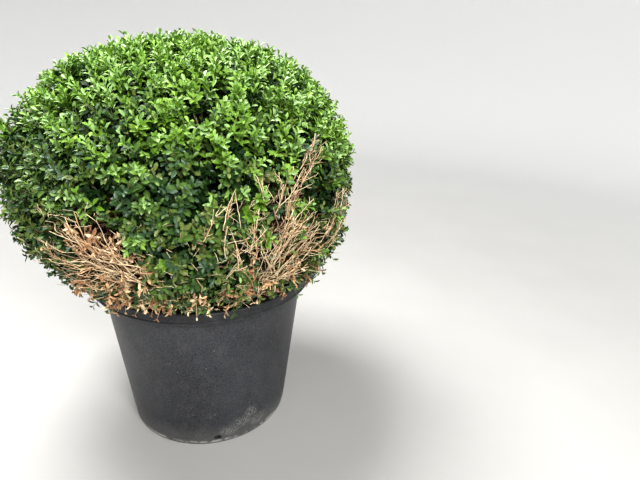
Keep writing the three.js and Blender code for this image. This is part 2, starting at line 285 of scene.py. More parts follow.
def direction(azimuth, elevation):
    turn, lift = np.radians(azimuth), np.radians(elevation)
    flat = np.cos(lift)
    return np.stack([flat * np.cos(turn), flat * np.sin(turn), np.sin(lift)], axis=-1)


def elevation_of(toward):
    return np.degrees(np.arcsin(np.clip(toward[:, 2], -1, 1)))


def azimuth_of(toward):
    return np.degrees(np.arctan2(toward[:, 1], toward[:, 0]))


def spread_directions(count, jitter, rng):
    """Unit vectors spread evenly all round, each moved by a share of their spacing."""
    index = np.arange(count) + 0.5
    level = 1 - 2 * index / count
    flat = np.sqrt(1 - level**2)
    turn = index * GOLDEN_ANGLE
    toward = np.stack([flat * np.cos(turn), flat * np.sin(turn), level], axis=1)
    spacing = math.sqrt(4 * math.pi / count)
    return unit(toward + rng.normal(0, jitter * spacing, toward.shape))


def spots(toward, listed):
    """How strongly each direction lies in any of the listed spots, from 0 upwards."""
    total = np.zeros(len(toward))
    for azimuth, elevation, spread, strength in listed:
        angle = np.degrees(np.arccos(np.clip(toward @ direction(azimuth, elevation), -1, 1)))
        total = np.maximum(total, strength * np.exp(-((angle / spread) ** 2)))
    return total


def ramp(values, low, high):
    share = np.clip((values - low) / (high - low), 0, 1)
    return share * share * (3 - 2 * share)


# The crown's skin

class Skin:
    """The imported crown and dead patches, seen from outside along any direction to the centre."""

    def __init__(self):
        points, faces, zones = [], [], []
        for zone, name in enumerate(ZONE_NODES):
            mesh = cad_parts[name].data
            first = len(points)
            points += [vertex.co.copy() for vertex in mesh.vertices]
            faces += [[first + corner for corner in face.vertices] for face in mesh.polygons]
            zones += [zone] * len(mesh.polygons)
        self.tree = BVHTree.FromPolygons(points, faces)
        self.zones = zones

    def meet(self, directions):
        """Distance from the centre, outward normal and zone, and whether it is the outer skin."""
        reach, normals, zones, outer = [], [], [], []
        for toward in directions:
            start = Vector(CROWN_CENTRE + OUTSIDE * toward)
            place, normal, face, _ = self.tree.ray_cast(start, Vector(-toward))
            if place is None:
                place, normal, face = Vector(CROWN_CENTRE), Vector(toward), 0
            reach.append((place - Vector(CROWN_CENTRE)).length)
            normals.append(normal)
            zones.append(self.zones[face])
            faces_out = normal.dot(Vector(toward)) > LEAST_FACING
            outer.append(place.z > CROWN_LIP + LIP_MARGIN and faces_out)
        normals = unit(np.array(normals) + directions)
        return np.array(reach), normals, np.array(zones), np.array(outer)


@lru_cache(maxsize=None)
def skin():
    return Skin()


# Shapes that are modelled once and then laid many times

class Model:
    """A modelled shape as arrays of points, triangles and places on its picture plane."""

    def __init__(self, bm):
        bmesh.ops.triangulate(bm, faces=bm.faces[:])
        bm.verts.index_update()
        self.points = np.array([vertex.co for vertex in bm.verts])
        self.faces = np.array([[vertex.index for vertex in face.verts] for face in bm.faces])
        self.uv = self.points[:, :2] + np.array([0.5, 0.0])
        bm.free()


def model_leaf(stations, fold, droop):
    """A leaf one long and one wide, its base at the origin, along +Y with its upper face +Z.

    stations are pairs of a share of the length and the half width there."""
    bm = bmesh.new()
    bmesh.ops.create_grid(bm, x_segments=2, y_segments=len(stations) - 1, size=1)
    for vertex in bm.verts:
        row = round((vertex.co.y + 1) / 2 * (len(stations) - 1))
        ahead, half = stations[row]
        side = vertex.co.x
        vertex.co = (side * half, ahead, abs(side) * half * fold - droop * ahead**2)
    bmesh.ops.remove_doubles(bm, verts=bm.verts[:], dist=1e-5)
    bmesh.ops.dissolve_degenerate(bm, dist=1e-6, edges=bm.edges[:])
    return Model(bm)


def model_twig(sides, steps):
    """A straight closed twig of radius one, along +Z, with a ring at each whole level."""
    bm = bmesh.new()
    bmesh.ops.create_cone(
        bm, cap_ends=True, cap_tris=False, segments=sides, radius1=1, radius2=1, depth=steps
    )
    bmesh.ops.translate(bm, verts=bm.verts[:], vec=(0, 0, steps / 2))
    if steps > 1:
        upright = [edge for edge in bm.edges if abs(edge.verts[0].co.z - edge.verts[1].co.z) > 0.5]
        bmesh.ops.subdivide_edges(bm, edges=upright, cuts=steps - 1, use_grid_fill=True)
    return Model(bm)


def lay(model, places, alongs, ups, widths, lengths):
    """The points of many copies of a leaf."""
    rights = np.cross(alongs, ups)
    points = model.points
    return (
        places[:, None]
        + rights[:, None] * (points[:, 0:1] * widths[:, None, None])
        + alongs[:, None] * (points[:, 1:2] * lengths[:, None, None])
        + ups[:, None] * (points[:, 2:3] * widths[:, None, None])
    )


def bend(model, paths, radii):
    """The points of many copies of a twig, each bent along its own path."""
    tangents = unit(np.gradient(paths, axis=1))
    first = square_to(np.broadcast_to(helper_for(tangents[:, :1]), tangents.shape), tangents)
    second = np.cross(tangents, first)
    ring = np.rint(model.points[:, 2]).astype(int)
    return (
        paths[:, ring]
        + first[:, ring] * (radii[:, ring] * model.points[:, 0])[..., None]
        + second[:, ring] * (radii[:, ring] * model.points[:, 1])[..., None]
    )


def joined_mesh(name, model, points, tints):
    """One mesh of all copies. points has a row of points for each copy and tints its material."""
    count, corners = points.shape[:2]
    faces = (model.faces[None] + corners * np.arange(count)[:, None, None]).reshape(-1, 3)
    mesh = bpy.data.meshes.new(name)
    mesh.vertices.add(count * corners)
    mesh.vertices.foreach_set("co", points.astype(np.float32).ravel())
    mesh.loops.add(faces.size)
    mesh.loops.foreach_set("vertex_index", faces.astype(np.int32).ravel())
    mesh.polygons.add(len(faces))
    mesh.polygons.foreach_set("loop_start", np.arange(0, faces.size, 3, dtype=np.int32))
    mesh.polygons.foreach_set("use_smooth", np.ones(len(faces), dtype=bool))
    slots = np.repeat(tints, len(model.faces)).astype(np.int32)
    mesh.polygons.foreach_set("material_index", slots)
    places = np.tile(model.uv[model.faces.ravel()], (count, 1))
    mesh.uv_layers.new(name="leaf").data.foreach_set("uv", places.astype(np.float32).ravel())
    mesh.update(calc_edges=True)
    return mesh


# Pieces

def linked(name, data):
    """A new object in the scene."""
    made = bpy.data.objects.new(name, data)
    bpy.context.scene.collection.objects.link(made)
    return made


def add_piece(name, mesh, materials, replaced=()):
    piece = linked(name, mesh)
    for material in materials:
        mesh.materials.append(material)
    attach(piece, BODY)
    if replaced:
        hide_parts(*replaced)
    return piece


def add_joined(name, model, points, toward, tints, materials, replaced=()):
    """The copies as one piece, or as several round the plant where one would grow too large."""
    pieces = math.ceil(len(points) * len(model.faces) / MOST_TRIANGLES)
    order = np.argsort(azimuth_of(toward), kind="stable")
    for number, chosen in enumerate(np.array_split(order, pieces)):
        full = name if pieces == 1 else f"{name}_{number + 1}"
        mesh = joined_mesh(full, model, points[chosen], tints[chosen])
        add_piece(full, mesh, materials, replaced)


def add_bent(name, paths, radii, sides, toward, tints, materials, replaced=()):
    """Twigs that follow their paths, laid as one piece or as several."""
    model = model_twig(sides, paths.shape[1] - 1)
    points = bend(model, paths, radii)
    add_joined(name, model, points, toward, tints, materials, replaced)


def smoothed(mesh, sharp=None):
    """The mesh with smooth faces, and with edges past sharp degrees kept sharp."""
    mesh.polygons.foreach_set("use_smooth", [True] * len(mesh.polygons))
    if sharp:
        mesh.set_sharp_from_angle(angle=math.radians(sharp))
    return mesh


def mesh_of(name, bm, sharp=None):
    """The finished bmesh as a smooth mesh."""
    mesh = bpy.data.meshes.new(name)
    bm.to_mesh(mesh)
    bm.free()
    return smoothed(mesh, sharp)


def new_corners(grown):
    """The vertices that an extrusion has made."""
    return [each for each in grown["geom"] if isinstance(each, bmesh.types.BMVert)]


def boundary(bm):
    return [edge for edge in bm.edges if edge.is_boundary]


def close(bm):
    """Fill the open rim and turn the faces outwards."""
    bmesh.ops.holes_fill(bm, edges=boundary(bm))
    bmesh.ops.recalc_face_normals(bm, faces=bm.faces[:])


def ease(bm, edges, offset, segments):
    """Round the edges over."""
    bmesh.ops.bevel(
        bm, geom=edges, offset=offset, offset_type="OFFSET", affect="EDGES", segments=segments,
        profile=0.5, material=-1,
    )


def combined(name, mesh, others, operation):
    """The mesh after each of the others is joined to it or cut from it."""
    subject = linked(name, mesh)
    tools = [linked(f"{name}_tool", other) for other in others]
    for tool in tools:
        step = subject.modifiers.new("combine", "BOOLEAN")
        step.operation = operation
        step.solver = "EXACT"
        step.object = tool
    bpy.context.view_layer.update()
    result = finished(subject, name)
    for each in (subject, *tools):
        bpy.data.objects.remove(each)
    return result


def finished(subject, name):
    """The object's mesh with its modifiers applied."""
    graph = bpy.context.evaluated_depsgraph_get()
    mesh = bpy.data.meshes.new_from_object(subject.evaluated_get(graph))
    mesh.name = name
    return mesh


# Materials

def blank_material(name):
    material = bpy.data.materials.new(name)
    material.use_nodes = True
    tree = material.node_tree
    tree.nodes.clear()
    output = tree.nodes.new("ShaderNodeOutputMaterial")
    surface = tree.nodes.new("ShaderNodeBsdfPrincipled")
    tree.links.new(surface.outputs["BSDF"], output.inputs["Surface"])
    return material, tree, surface


def coordinates(tree, scale=(1, 1, 1), place=(0, 0, 0), source="Object"):
    """Object coordinates, moved so that place is the middle and then stretched by scale."""
    texture = tree.nodes.new("ShaderNodeTexCoord")
    mapping = tree.nodes.new("ShaderNodeMapping")
    mapping.inputs["Scale"].default_value = scale
    mapping.inputs["Location"].default_value = [-at * by for at, by in zip(place, scale)]
    tree.links.new(texture.outputs[source], mapping.inputs["Vector"])
    return mapping.outputs["Vector"]


def noise_value(tree, scale, detail=2, stretch=(1, 1, 1)):
    texture = tree.nodes.new("ShaderNodeTexNoise")
    texture.inputs["Scale"].default_value = scale
    texture.inputs["Detail"].default_value = detail
    tree.links.new(coordinates(tree, stretch), texture.inputs["Vector"])
    return texture.outputs["Fac"]


def ranged(tree, value, low, high, start=0.0, end=1.0):
    """value stretched so that low gives start and high gives end."""
    node = tree.nodes.new("ShaderNodeMapRange")
    node.interpolation_type = "SMOOTHSTEP"
    for name, number in (("From Min", low), ("From Max", high), ("To Min", start), ("To Max", end)):
        node.inputs[name].default_value = number
    tree.links.new(value, node.inputs["Value"])
    return node.outputs["Result"]


def maths(tree, operation, first, second=None):
    node = tree.nodes.new("ShaderNodeMath")
    node.operation = operation
    for socket, value in zip(node.inputs, (first, second)):
        if isinstance(value, bpy.types.NodeSocket):
            tree.links.new(value, socket)
        elif value is not None:
            socket.default_value = value
    return node.outputs["Value"]


def blended(tree, share, first, second):
    """first where share is 0 and second where it is 1."""
    node = tree.nodes.new("ShaderNodeMix")
    node.data_type = "RGBA"
    tree.links.new(share, node.inputs["Factor"])
    for socket, value in ((node.inputs[6], first), (node.inputs[7], second)):
        if isinstance(value, bpy.types.NodeSocket):
            tree.links.new(value, socket)
        else:
            socket.default_value = (*value, 1)
    return node.outputs[2]


def bump(tree, surface, height, strength, distance):
    node = tree.nodes.new("ShaderNodeBump")
    node.inputs["Strength"].default_value = strength
    node.inputs["Distance"].default_value = distance
    tree.links.new(height, node.inputs["Height"])
    tree.links.new(node.outputs["Normal"], surface.inputs["Normal"])


def shaded(colour, factor):
    return tuple(min(1.0, channel * factor) for channel in colour)


def axis_value(tree, axis, source="Object"):
    """One axis of the coordinates."""
    split = tree.nodes.new("ShaderNodeSeparateXYZ")
    tree.links.new(coordinates(tree, source=source), split.inputs[0])
    return split.outputs[axis]


def ball_value(tree, scale, place=(0, 0, 0)):
    """1 at place, falling evenly to 0 at a distance of one over scale."""
    ball = tree.nodes.new("ShaderNodeTexGradient")
    ball.gradient_type = "SPHERICAL"
    tree.links.new(coordinates(tree, scale, place), ball.inputs["Vector"])
    return ball.outputs["Fac"]


def mottled(tree, value, low, high, colour, dark, light):
    """colour times dark where value is low, and times light where it is high."""
    share = ranged(tree, value, low, high)
    return blended(tree, share, shaded(colour, dark), shaded(colour, light))


def set_roughness(tree, surface, value, low, high, start, end):
    """Roughness start where value is low, and end where it is high."""
    tree.links.new(ranged(tree, value, low, high, start, end), surface.inputs["Roughness"])


# How far from the middle of a leaf one wide its rib fades out, and its margin fades in
# The pale rib and margin are partly the leaf's own paler colour and partly painted highlight
LEAF_PALE_RIB_AND_GLINT = (0.05, 0.12)
LEAF_PALE_MARGIN_AND_GLINT = (0.38, 0.48)


def leaf_material(name, colour, rough=0.4, rib=1.35, coat=0.0, gloss=0.5):
    """A waxy leaf of one plain tint, mottled a little, with a paler rib and margin that are partly
    its own colour and partly painted highlight.
    """
    material, tree, surface = blank_material(name)
    mottle = noise_value(tree, 90, 3)
    blade = mottled(tree, mottle, 0.3, 0.7, colour, 0.8, 1.2)
    beside = maths(tree, "ABSOLUTE", maths(tree, "SUBTRACT", axis_value(tree, "X", "UV"), 0.5))
    # The rib and margin take the tint times rib: their own paler colour, lightened further as
    # painted highlight along the fold and edges
    middle = ranged(tree, beside, *LEAF_PALE_RIB_AND_GLINT, 1, 0)
    pale = maths(tree, "MAXIMUM", middle, ranged(tree, beside, *LEAF_PALE_MARGIN_AND_GLINT, 0, 1))
    tree.links.new(blended(tree, pale, blade, shaded(colour, rib)), surface.inputs["Base Color"])
    set_roughness(tree, surface, mottle, 0.2, 0.8, rough - 0.07, rough + 0.1)
    surface.inputs["Specular IOR Level"].default_value = gloss
    surface.inputs["Coat Weight"].default_value = coat
    surface.inputs["Coat Roughness"].default_value = 0.28
    bump(tree, surface, maths(tree, "ADD", mottle, middle), 0.3, 0.0006)
    return material


def twig_material(name, colour, rough=0.75, gloss=0.5):
    """Thin bark, streaked darker and lighter along its length."""
    material, tree, surface = blank_material(name)
    streak = noise_value(tree, 120, 3)
    fine = noise_value(tree, 700, 2)
    tone = mottled(tree, streak, 0.3, 0.7, colour, 0.7, 1.25)
    tree.links.new(tone, surface.inputs["Base Color"])
    set_roughness(tree, surface, fine, 0.2, 0.8, rough - 0.1, rough + 0.1)
    surface.inputs["Specular IOR Level"].default_value = gloss
    bump(tree, surface, fine, 0.4, 0.0004)
    return material


def bark_material(name, colour):
    """Grey-tan bark with dark cracks that run up the limb and pale worn ridges."""
    material, tree, surface = blank_material(name)
    cracks = noise_value(tree, 60, 6, (3, 3, 0.5))
    patches = noise_value(tree, 25, 3)
    ridges = mottled(tree, patches, 0.35, 0.65, colour, 0.8, 1.3)
    tone = blended(tree, ranged(tree, cracks, 0.38, 0.55), shaded(colour, 0.25), ridges)
    tree.links.new(tone, surface.inputs["Base Color"])
    set_roughness(tree, surface, cracks, 0.3, 0.7, 0.95, 0.7)
    bump(tree, surface, cracks, 0.7, 0.002)
    return material


# Scuffs at the pot's foot: the middle of each and the scale that gives its size
SCUFFS = (
    ((0.082, -0.172, 0.066), (42, 42, 42)),
    ((0.062, -0.177, 0.047), (32, 32, 44)),
    ((0.034, -0.184, 0.033), (30, 30, 48)),
    ((0.100, -0.158, 0.035), (30, 30, 40)),
    ((-0.150, 0.105, 0.040), (20, 20, 34)),
)

# Pale specks on the pot: how many to the metre, and how strong
SPECKS = ((42, 0.5), (90, 0.3), (170, 0.2))

# Levels between which painted shade darkens the rim band, and between which the foot is worn
RIM_SHADE = (0.340, 0.346)
FOOT_WEAR = (0.004, 0.007, 0.010, 0.014)


def pot_material(name, colour, dust):
    """Dull black plastic with a fine grain, a film of dust, pale specks, scuffs at the foot, and
    painted shade on the rim band.
    """
    material, tree, surface = blank_material(name)
    cloud = noise_value(tree, 6, 3)
    grain = noise_value(tree, 1500, 2)
    mottle = noise_value(tree, 360, 4)
    shifted = maths(tree, "ADD", mottle, maths(tree, "MULTIPLY", cloud, 0.4))
    tone = mottled(tree, shifted, 0.5, 0.9, colour, 0.45, 1.7)
    level = axis_value(tree, "Z")
    # Painted shade: the rim band is darker, as if shaded by the leaves that hang over it
    rim_painted_shade = ranged(tree, level, *RIM_SHADE, 0, 0.7)
    tone = blended(tree, rim_painted_shade, tone, shaded(colour, 0.3))
    web = maths(tree, "ABSOLUTE", maths(tree, "SUBTRACT", noise_value(tree, 230, 5), 0.5))
    web = ranged(tree, web, 0.0, 0.05, 1, 0)
    start, full, falls, end = FOOT_WEAR
    edge = maths(
        tree, "MULTIPLY", ranged(tree, level, start, full, 0, 0.8),
        ranged(tree, level, falls, end, 1, 0),
    )
    edge = maths(tree, "MULTIPLY", edge, ranged(tree, noise_value(tree, 60, 6), 0.35, 0.6))
    worn = 0.0
    for place, scale in SCUFFS:
        scuff = ranged(tree, ball_value(tree, scale, place), 0.0, 0.7, 0, 0.65)
        worn = maths(tree, "MAXIMUM", worn, scuff)
    worn = maths(tree, "MAXIMUM", maths(tree, "MULTIPLY", worn, web), edge)
    foot = ranged(tree, level, 0.0, 0.07, 0.14, 0.0)
    film = maths(tree, "MULTIPLY", ranged(tree, noise_value(tree, 45, 6), 0.4, 0.75), 0.035)
    pale = maths(tree, "MAXIMUM", worn, maths(tree, "ADD", film, foot))
    for count, strength in SPECKS:
        cells = tree.nodes.new("ShaderNodeTexVoronoi")
        cells.inputs["Scale"].default_value = count
        tree.links.new(coordinates(tree), cells.inputs["Vector"])
        specks = ranged(tree, cells.outputs["Distance"], 0.03, 0.07, strength, 0)
        pale = maths(tree, "MAXIMUM", pale, specks)
    tree.links.new(blended(tree, pale, tone, dust), surface.inputs["Base Color"])
    dull = maths(
        tree, "ADD", ranged(tree, cloud, 0.3, 0.7, 0.42, 0.55), maths(tree, "MULTIPLY", pale, 0.3)
    )
    tree.links.new(dull, surface.inputs["Roughness"])
    surface.inputs["Specular IOR Level"].default_value = 0.45
    bump(tree, surface, maths(tree, "ADD", grain, mottle), 0.3, 0.0005)
    return material


def soil_material(name, colour):
    """Moist potting mix: dark crumbs with lighter fibres."""
    material, tree, surface = blank_material(name)
    crumbs = noise_value(tree, 220, 5)
    damp = noise_value(tree, 12, 2)
    tone = mottled(tree, crumbs, 0.4, 0.7, colour, 0.6, 2.2)
    tree.links.new(tone, surface.inputs["Base Color"])
    set_roughness(tree, surface, damp, 0.3, 0.7, 0.65, 0.95)
    bump(tree, surface, crumbs, 0.8, 0.003)
    return material


def floor_material(name, colour, wall):
    """A plain floor that grows paler towards the wall, where less light falls."""
    material, tree, surface = blank_material(name)
    cloud = noise_value(tree, 3, 3)
    tone = mottled(tree, cloud, 0.3, 0.7, colour, 0.98, 1.02)
    far = ranged(tree, ball_value(tree, (0.2, 0.2, 0.2)), 0.1, 0.8, 1, 0)
    tone = blended(tree, far, tone, wall)
    tree.links.new(tone, surface.inputs["Base Color"])
    surface.inputs["Roughness"].default_value = 0.8
    return material


# Growth

def bough_path(number, steps):
    """The middle line of one bough, from inside the fork to just inside the crown."""
    kind = STEEP_BOUGH if number % 2 else LOW_BOUGH
    swing = BOUGH_SWING * math.sin(BOUGH_SWING_WAVE * number)
    turn = math.radians(BOUGH_FIRST_AZIMUTH + 360 * number / BOUGHS + swing)
    out = np.array([math.cos(turn), math.sin(turn), 0])
    root = np.array([STEM_FORK[0], STEM_FORK[1], kind["level"]])
    knee = out * kind["knee"][0] + UP * kind["knee"][1]
    rise = HOLLOW_RISE * math.sqrt(1 - (kind["reach"] / HOLLOW_RADIUS) ** 2)
    entry = out * kind["reach"] + UP * (CROWN_LIP + rise)
    entry = entry + unit(entry - knee) * BOUGH_EMBED
    share = np.linspace(0, 1, steps + 1)[:, None]
    path = (1 - share) ** 2 * root + 2 * share * (1 - share) * knee + share**2 * entry
    radii = np.interp(share[:, 0], (0, 1), kind["radii"])
    return path, radii


def along(paths, owner, share):
    """A point and a heading at a share of the way along each owner's path."""
    steps = paths.shape[1] - 1
    exact = share * steps
    before = np.minimum(exact.astype(int), steps - 1)
    start, end = paths[owner, before], paths[owner, before + 1]
    return start + (end - start) * (exact - before)[:, None], unit(end - start)


def nearest(places, wanted):
    """For each wanted point, the number of the nearest place."""
    tree = KDTree(len(places))
    for number, place in enumerate(places):
        tree.insert(place, number)
    tree.balance()
    return np.array([tree.find(point)[1] for point in wanted])


def branch(parents, share, ends, headings, steps):
    """Curved paths that leave the nearest parents and arrive at their ends along headings."""
    owner = nearest(parents[:, -1], ends)
    start, leave = along(parents, owner, share)
    reach = np.linalg.norm(ends - start, axis=1, keepdims=True) * BEND
    first, second = start + leave * reach, ends - headings * reach
    t = np.linspace(0, 1, steps + 1)[None, :, None]
    start, first, second, end = (each[:, None] for each in (start, first, second, ends))
    return (
        (1 - t) ** 3 * start + 3 * t * (1 - t) ** 2 * first
        + 3 * t**2 * (1 - t) * second + t**3 * end
    )


def taper(radii, paths):
    """The radius at each point of each path, from the first of two radii to the second."""
    count, corners = paths.shape[:2]
    return np.broadcast_to(np.linspace(*radii, corners), (count, corners))


class Shoots:
    """Leafy shoots as arrays, one row for each."""

    FIELDS = ("base", "axis", "length", "pairs", "kind", "out")

    def __init__(self, **rows):
        for field in self.FIELDS:
            setattr(self, field, rows[field])

    def __len__(self):
        return len(self.base)

    def chosen(self, which):
        return Shoots(**{field: getattr(self, field)[which] for field in self.FIELDS})

    @classmethod
    def together(cls, several):
        return cls(**{
            field: np.concatenate([getattr(each, field) for each in several])
            for field in cls.FIELDS
        })


class Growth:
    """Everything above the boughs: wooden paths and leafy shoots."""

    def __init__(self, sizes):
        self.rng = np.random.default_rng(sizes.seed)
        self.sizes = sizes
        self.grow_wood()
        self.grow_tips()
        self.grow_shoots()

    def level(self, parents, rule):
        """Paths from the parents to forks inside the crown, at a share of its reach."""
        toward = spread_directions(rule["count"], FORK_JITTER, self.rng)
        toward = toward[elevation_of(toward) > rule["lowest"]]
        reach = skin().meet(toward)[0]
        share = rule["depth"] * self.rng.uniform(*FORK_DEPTHS, len(toward))
        ends = CROWN_CENTRE + toward * (reach * share)[:, None]
        starts = self.rng.uniform(*rule["starts"], len(ends))
        return branch(parents, starts, ends, unit(toward + FORK_CLIMB * UP), rule["steps"])

    def grow_wood(self):
        boughs = [bough_path(number, BOUGH_PARENT_STEPS)[0] for number in range(BOUGHS)]
        self.limbs = self.level(np.array(boughs), LIMBS)
        self.branches = self.level(self.limbs, BRANCHES)

    def tufts(self):
        """Directions of all leading shoots, the tuft of each and how far out in it each stands."""
        rng = self.rng
        middles = spread_directions(self.sizes.tufts, TUFT_JITTER, rng)
        between = spread_directions(self.sizes.deep_shoots, DEEP_JITTER, rng)
        tuft = np.repeat(np.arange(len(middles)), rng.integers(*TUFT_SHOOTS, len(middles)))
        off = np.sqrt(rng.uniform(0, 1, len(tuft)))
        away = square_to(rng.normal(0, 1, (len(tuft), 3)), middles[tuft])
        toward = unit(middles[tuft] + away * (off * TUFT_RADIUS / CROWN_REACH)[:, None])
        tuft = np.concatenate([tuft, len(middles) + np.arange(len(between))])
        fan = np.concatenate([away * off[:, None], np.zeros(between.shape)])
        return np.concatenate([toward, between]), tuft, fan

    def grow_tips(self):
        """Where the leading shoots end, how they head and what they bear."""
        rng = self.rng
        toward, tuft, fan = self.tufts()
        deep = tuft >= self.sizes.tufts
        reach, normal, zone, outer = skin().meet(toward)
        lift = elevation_of(toward)
        wander = np.array([noise.noise(Vector(each * YOUNG_WANDER_SCALE)) for each in toward])
        sprigs = spots(toward, [(*spot, SPRIG_SPREAD, 1.0) for spot in SPRIG_SPOTS])
        youth = ramp(lift + YOUNG_WANDER * wander, *YOUNG_ELEVATIONS) ** YOUNG_POWER
        # Fewer new shoots in these spots leaves old, darker leaves there: hollows, and partly
        # painted shade
        youth = np.maximum(youth * (1 - spots(toward, HOLLOW_AND_PAINTED_SHADE_SPOTS)), sprigs)
        luck = rng.random(tuft.max() + 1)[tuft]
        stray = rng.random(len(toward)) < STRAY_SHARE
        luck = np.where(stray, rng.random(len(toward)), luck)
        new = luck < youth * np.where(deep, YOUNG_WHEN_DEEP, 1)
        share = rng.random(tuft.max() + 1)[tuft]
        kept = outer & (share > spots(toward, THIN_SPOTS))
        living = np.where(zone == DEAD_LEFT, LIVING_LEFT, LIVING_RIGHT)
        kept &= (zone == GREEN) | (share < living + sprigs)
        level = CROWN_CENTRE[2] + toward[:, 2] * reach
        hang = 1 - ramp(level, CROWN_LIP, CROWN_LIP + LIP_ROOM)
        climb = LEAST_CLIMB + ADDED_CLIMB * ramp(lift, *CLIMB_ELEVATIONS)
        axis = normal + UP * (climb - LIP_HANG * hang)[:, None] + TUFT_FAN * fan
        axis = unit(axis + rng.normal(0, LEADER_SCATTER, toward.shape))
        proud = rng.uniform(*OUTER_TIPS, len(toward)) - TUFT_DOME * np.sum(fan**2, axis=1)
        proud = proud - TOP_DIP * ramp(lift, *TOP_ELEVATIONS) - spots(toward, SHOULDER_DIP)
        proud = proud - np.where(new, 0, OLD_DIP)
        tall = (rng.random(len(toward)) < TALL_SHARE) & new & (lift > TALL_LOWEST)
        proud = proud + tall * rng.uniform(*TALL_RISE, len(toward)) + spots(toward, TALL_SPOTS)
        proud = np.where(deep, rng.uniform(*DEEP_TIPS, len(toward)), proud)
        dip = PATCH_DIP - PATCH_SPRIG_RISE * np.minimum(sprigs, 1)
        proud = proud - np.where(zone == GREEN, 0, dip)
        tips = CROWN_CENTRE + toward * (reach + proud)[:, None] + UP * (LIP_LIFT * hang)[:, None]
        self.toward, self.reach, self.zone, self.tuft = (
            each[outer] for each in (toward, reach, zone, tuft)
        )
        self.axis, self.tips, self.new, self.kept = (
            each[outer] for each in (axis, tips, new, kept)
        )

    def grow_shoots(self):
        rng = self.rng
        count = len(self.toward)
        length = np.where(
            self.new, rng.uniform(*NEW_LENGTHS, count), rng.uniform(*OLD_LENGTHS, count)
        )
        base = self.tips - self.axis * length[:, None]
        starts = rng.uniform(*TWIG_STARTS, count)
        self.twigs = branch(self.branches, starts, base, self.axis, TWIG_BENDS)
        kind = np.where(self.new, NEW, OLD)
        shady = (self.tuft >= self.sizes.tufts) & (rng.random(count) < SHADY_SHARE)
        kind = np.where(shady, INNER, kind)
        pairs = np.where(self.new, rng.integers(*NEW_PAIRS, count), rng.integers(*OLD_PAIRS, count))
        leaders = Shoots(
            base=base, axis=self.axis, length=length, pairs=pairs, kind=kind, out=self.toward
        ).chosen(self.kept)
        self.shoots = Shoots.together([
            leaders, self.side_shoots(), self.inner_shoots(), self.fringe_shoots(),
            self.dry_shoots(),
        ])

    def side_shoots(self):
        """One shoot from the side of most live twigs, kept inside the skin."""
        rng = self.rng
        owner = np.flatnonzero(self.kept & (rng.random(len(self.kept)) < SIDE_SHARE))
        count = len(owner)
        base, heading = along(self.twigs, owner, rng.uniform(*SIDE_STARTS, count))
        away = square_to(rng.normal(0, 1, heading.shape), heading)
        angle = rng.uniform(*SIDE_ANGLES, count)[:, None]
        axis = unit(heading * np.cos(angle) + away * np.sin(angle) + UP * SIDE_CLIMB)
        new = self.new[owner] & (rng.random(count) < SIDE_YOUNG)
        length = rng.uniform(*SIDE_LENGTHS, count)
        toward = self.toward[owner]
        limit = self.reach[owner] - SIDE_DEPTH
        over = dot(base + axis * length[:, None] - CROWN_CENTRE, toward)[:, 0] - limit
        base = base - toward * np.maximum(over, 0)[:, None]
        pairs = np.where(
            new, rng.integers(*SIDE_NEW_PAIRS, count), rng.integers(*SIDE_OLD_PAIRS, count)
        )
        kind = np.where(new, NEW, OLD)
        return Shoots(base=base, axis=axis, length=length, pairs=pairs, kind=kind, out=toward)

    def inner_shoots(self):
        """Shaded shoots deeper in, which close the view between the outer ones."""
        rng = self.rng
        toward = spread_directions(self.sizes.inner_shoots, INNER_JITTER, rng)
        reach, normal, zone, outer = skin().meet(toward)
        toward, reach, normal, zone = toward[outer], reach[outer], normal[outer], zone[outer]
        count = len(toward)
        depth = rng.uniform(*INNER_DEPTHS, count) + np.where(zone == GREEN, 0, INNER_PATCH_DEPTH)
        base = CROWN_CENTRE + toward * (reach - depth)[:, None]
        axis = unit(normal + rng.normal(0, INNER_SCATTER, toward.shape))
        return Shoots(
            base=base, axis=axis, length=rng.uniform(*INNER_LENGTHS, count),
            pairs=rng.integers(*INNER_PAIRS, count),
            kind=np.where(zone == GREEN, INNER, WITHERED), out=toward,
        )

    def fringe_shoots(self):
        """Shoots that hang from the crown's lip over the pot's rim."""
        rng = self.rng
        count = self.sizes.fringe_shoots
        azimuth = np.arange(count) * 360 / count + rng.normal(0, FRINGE_JITTER, count)
        toward = direction(azimuth, np.full(count, FRINGE_ELEVATION))
        flat = unit(toward * np.array([1, 1, 0]))
        radius = rng.uniform(*FRINGE_RADII, count)
        level = CROWN_LIP + rng.uniform(*FRINGE_LEVELS, count)
        base = flat * radius[:, None] + UP * level[:, None]
        out, down = rng.uniform(*FRINGE_OUT, (count, 1)), rng.uniform(*FRINGE_DOWN, (count, 1))
        axis = unit(flat * out - UP * down + rng.normal(0, FRINGE_SCATTER, toward.shape))
        front = ramp(-toward[:, 1], *FRINGE_FRONT)
        dry = rng.random(count) < FRINGE_DRY + FRINGE_DRY_FRONT * front
        return Shoots(
            base=base, axis=axis, length=rng.uniform(*FRINGE_LENGTHS, count),
            pairs=rng.integers(*FRINGE_PAIRS, count), kind=np.where(dry, DRY, OLD), out=toward,
        )

    def dry_shoots(self):
        """Clusters of dry leaves in the bare patches and along the front of the lip."""
        rng = self.rng
        several = []
        for azimuth, elevation, spread, count in DRY_CLUSTERS:
            toward = direction(
                azimuth + rng.normal(0, spread, count),
                elevation + rng.normal(0, spread * DRY_FLATTEN, count),
            )
            reach, normal, _, _ = skin().meet(toward)
            reach = np.clip(reach, *PATCH_REACH)
            scatter = rng.normal(0, DRY_SCATTER, toward.shape)
            axis = unit(normal * DRY_OUT + scatter - UP * DRY_DROOP)
            base = CROWN_CENTRE + toward * (reach + rng.uniform(*DRY_TIPS, count))[:, None]
            several.append(Shoots(
                base=base, axis=axis, length=rng.uniform(*DRY_LENGTHS, count),
                pairs=rng.integers(*DRY_PAIRS, count), kind=np.full(count, DRY), out=toward,
            ))
        return Shoots.together(several)


@lru_cache(maxsize=None)
def growth():
    return Growth(bpy.context.scene.ball_crown)


# Leaves

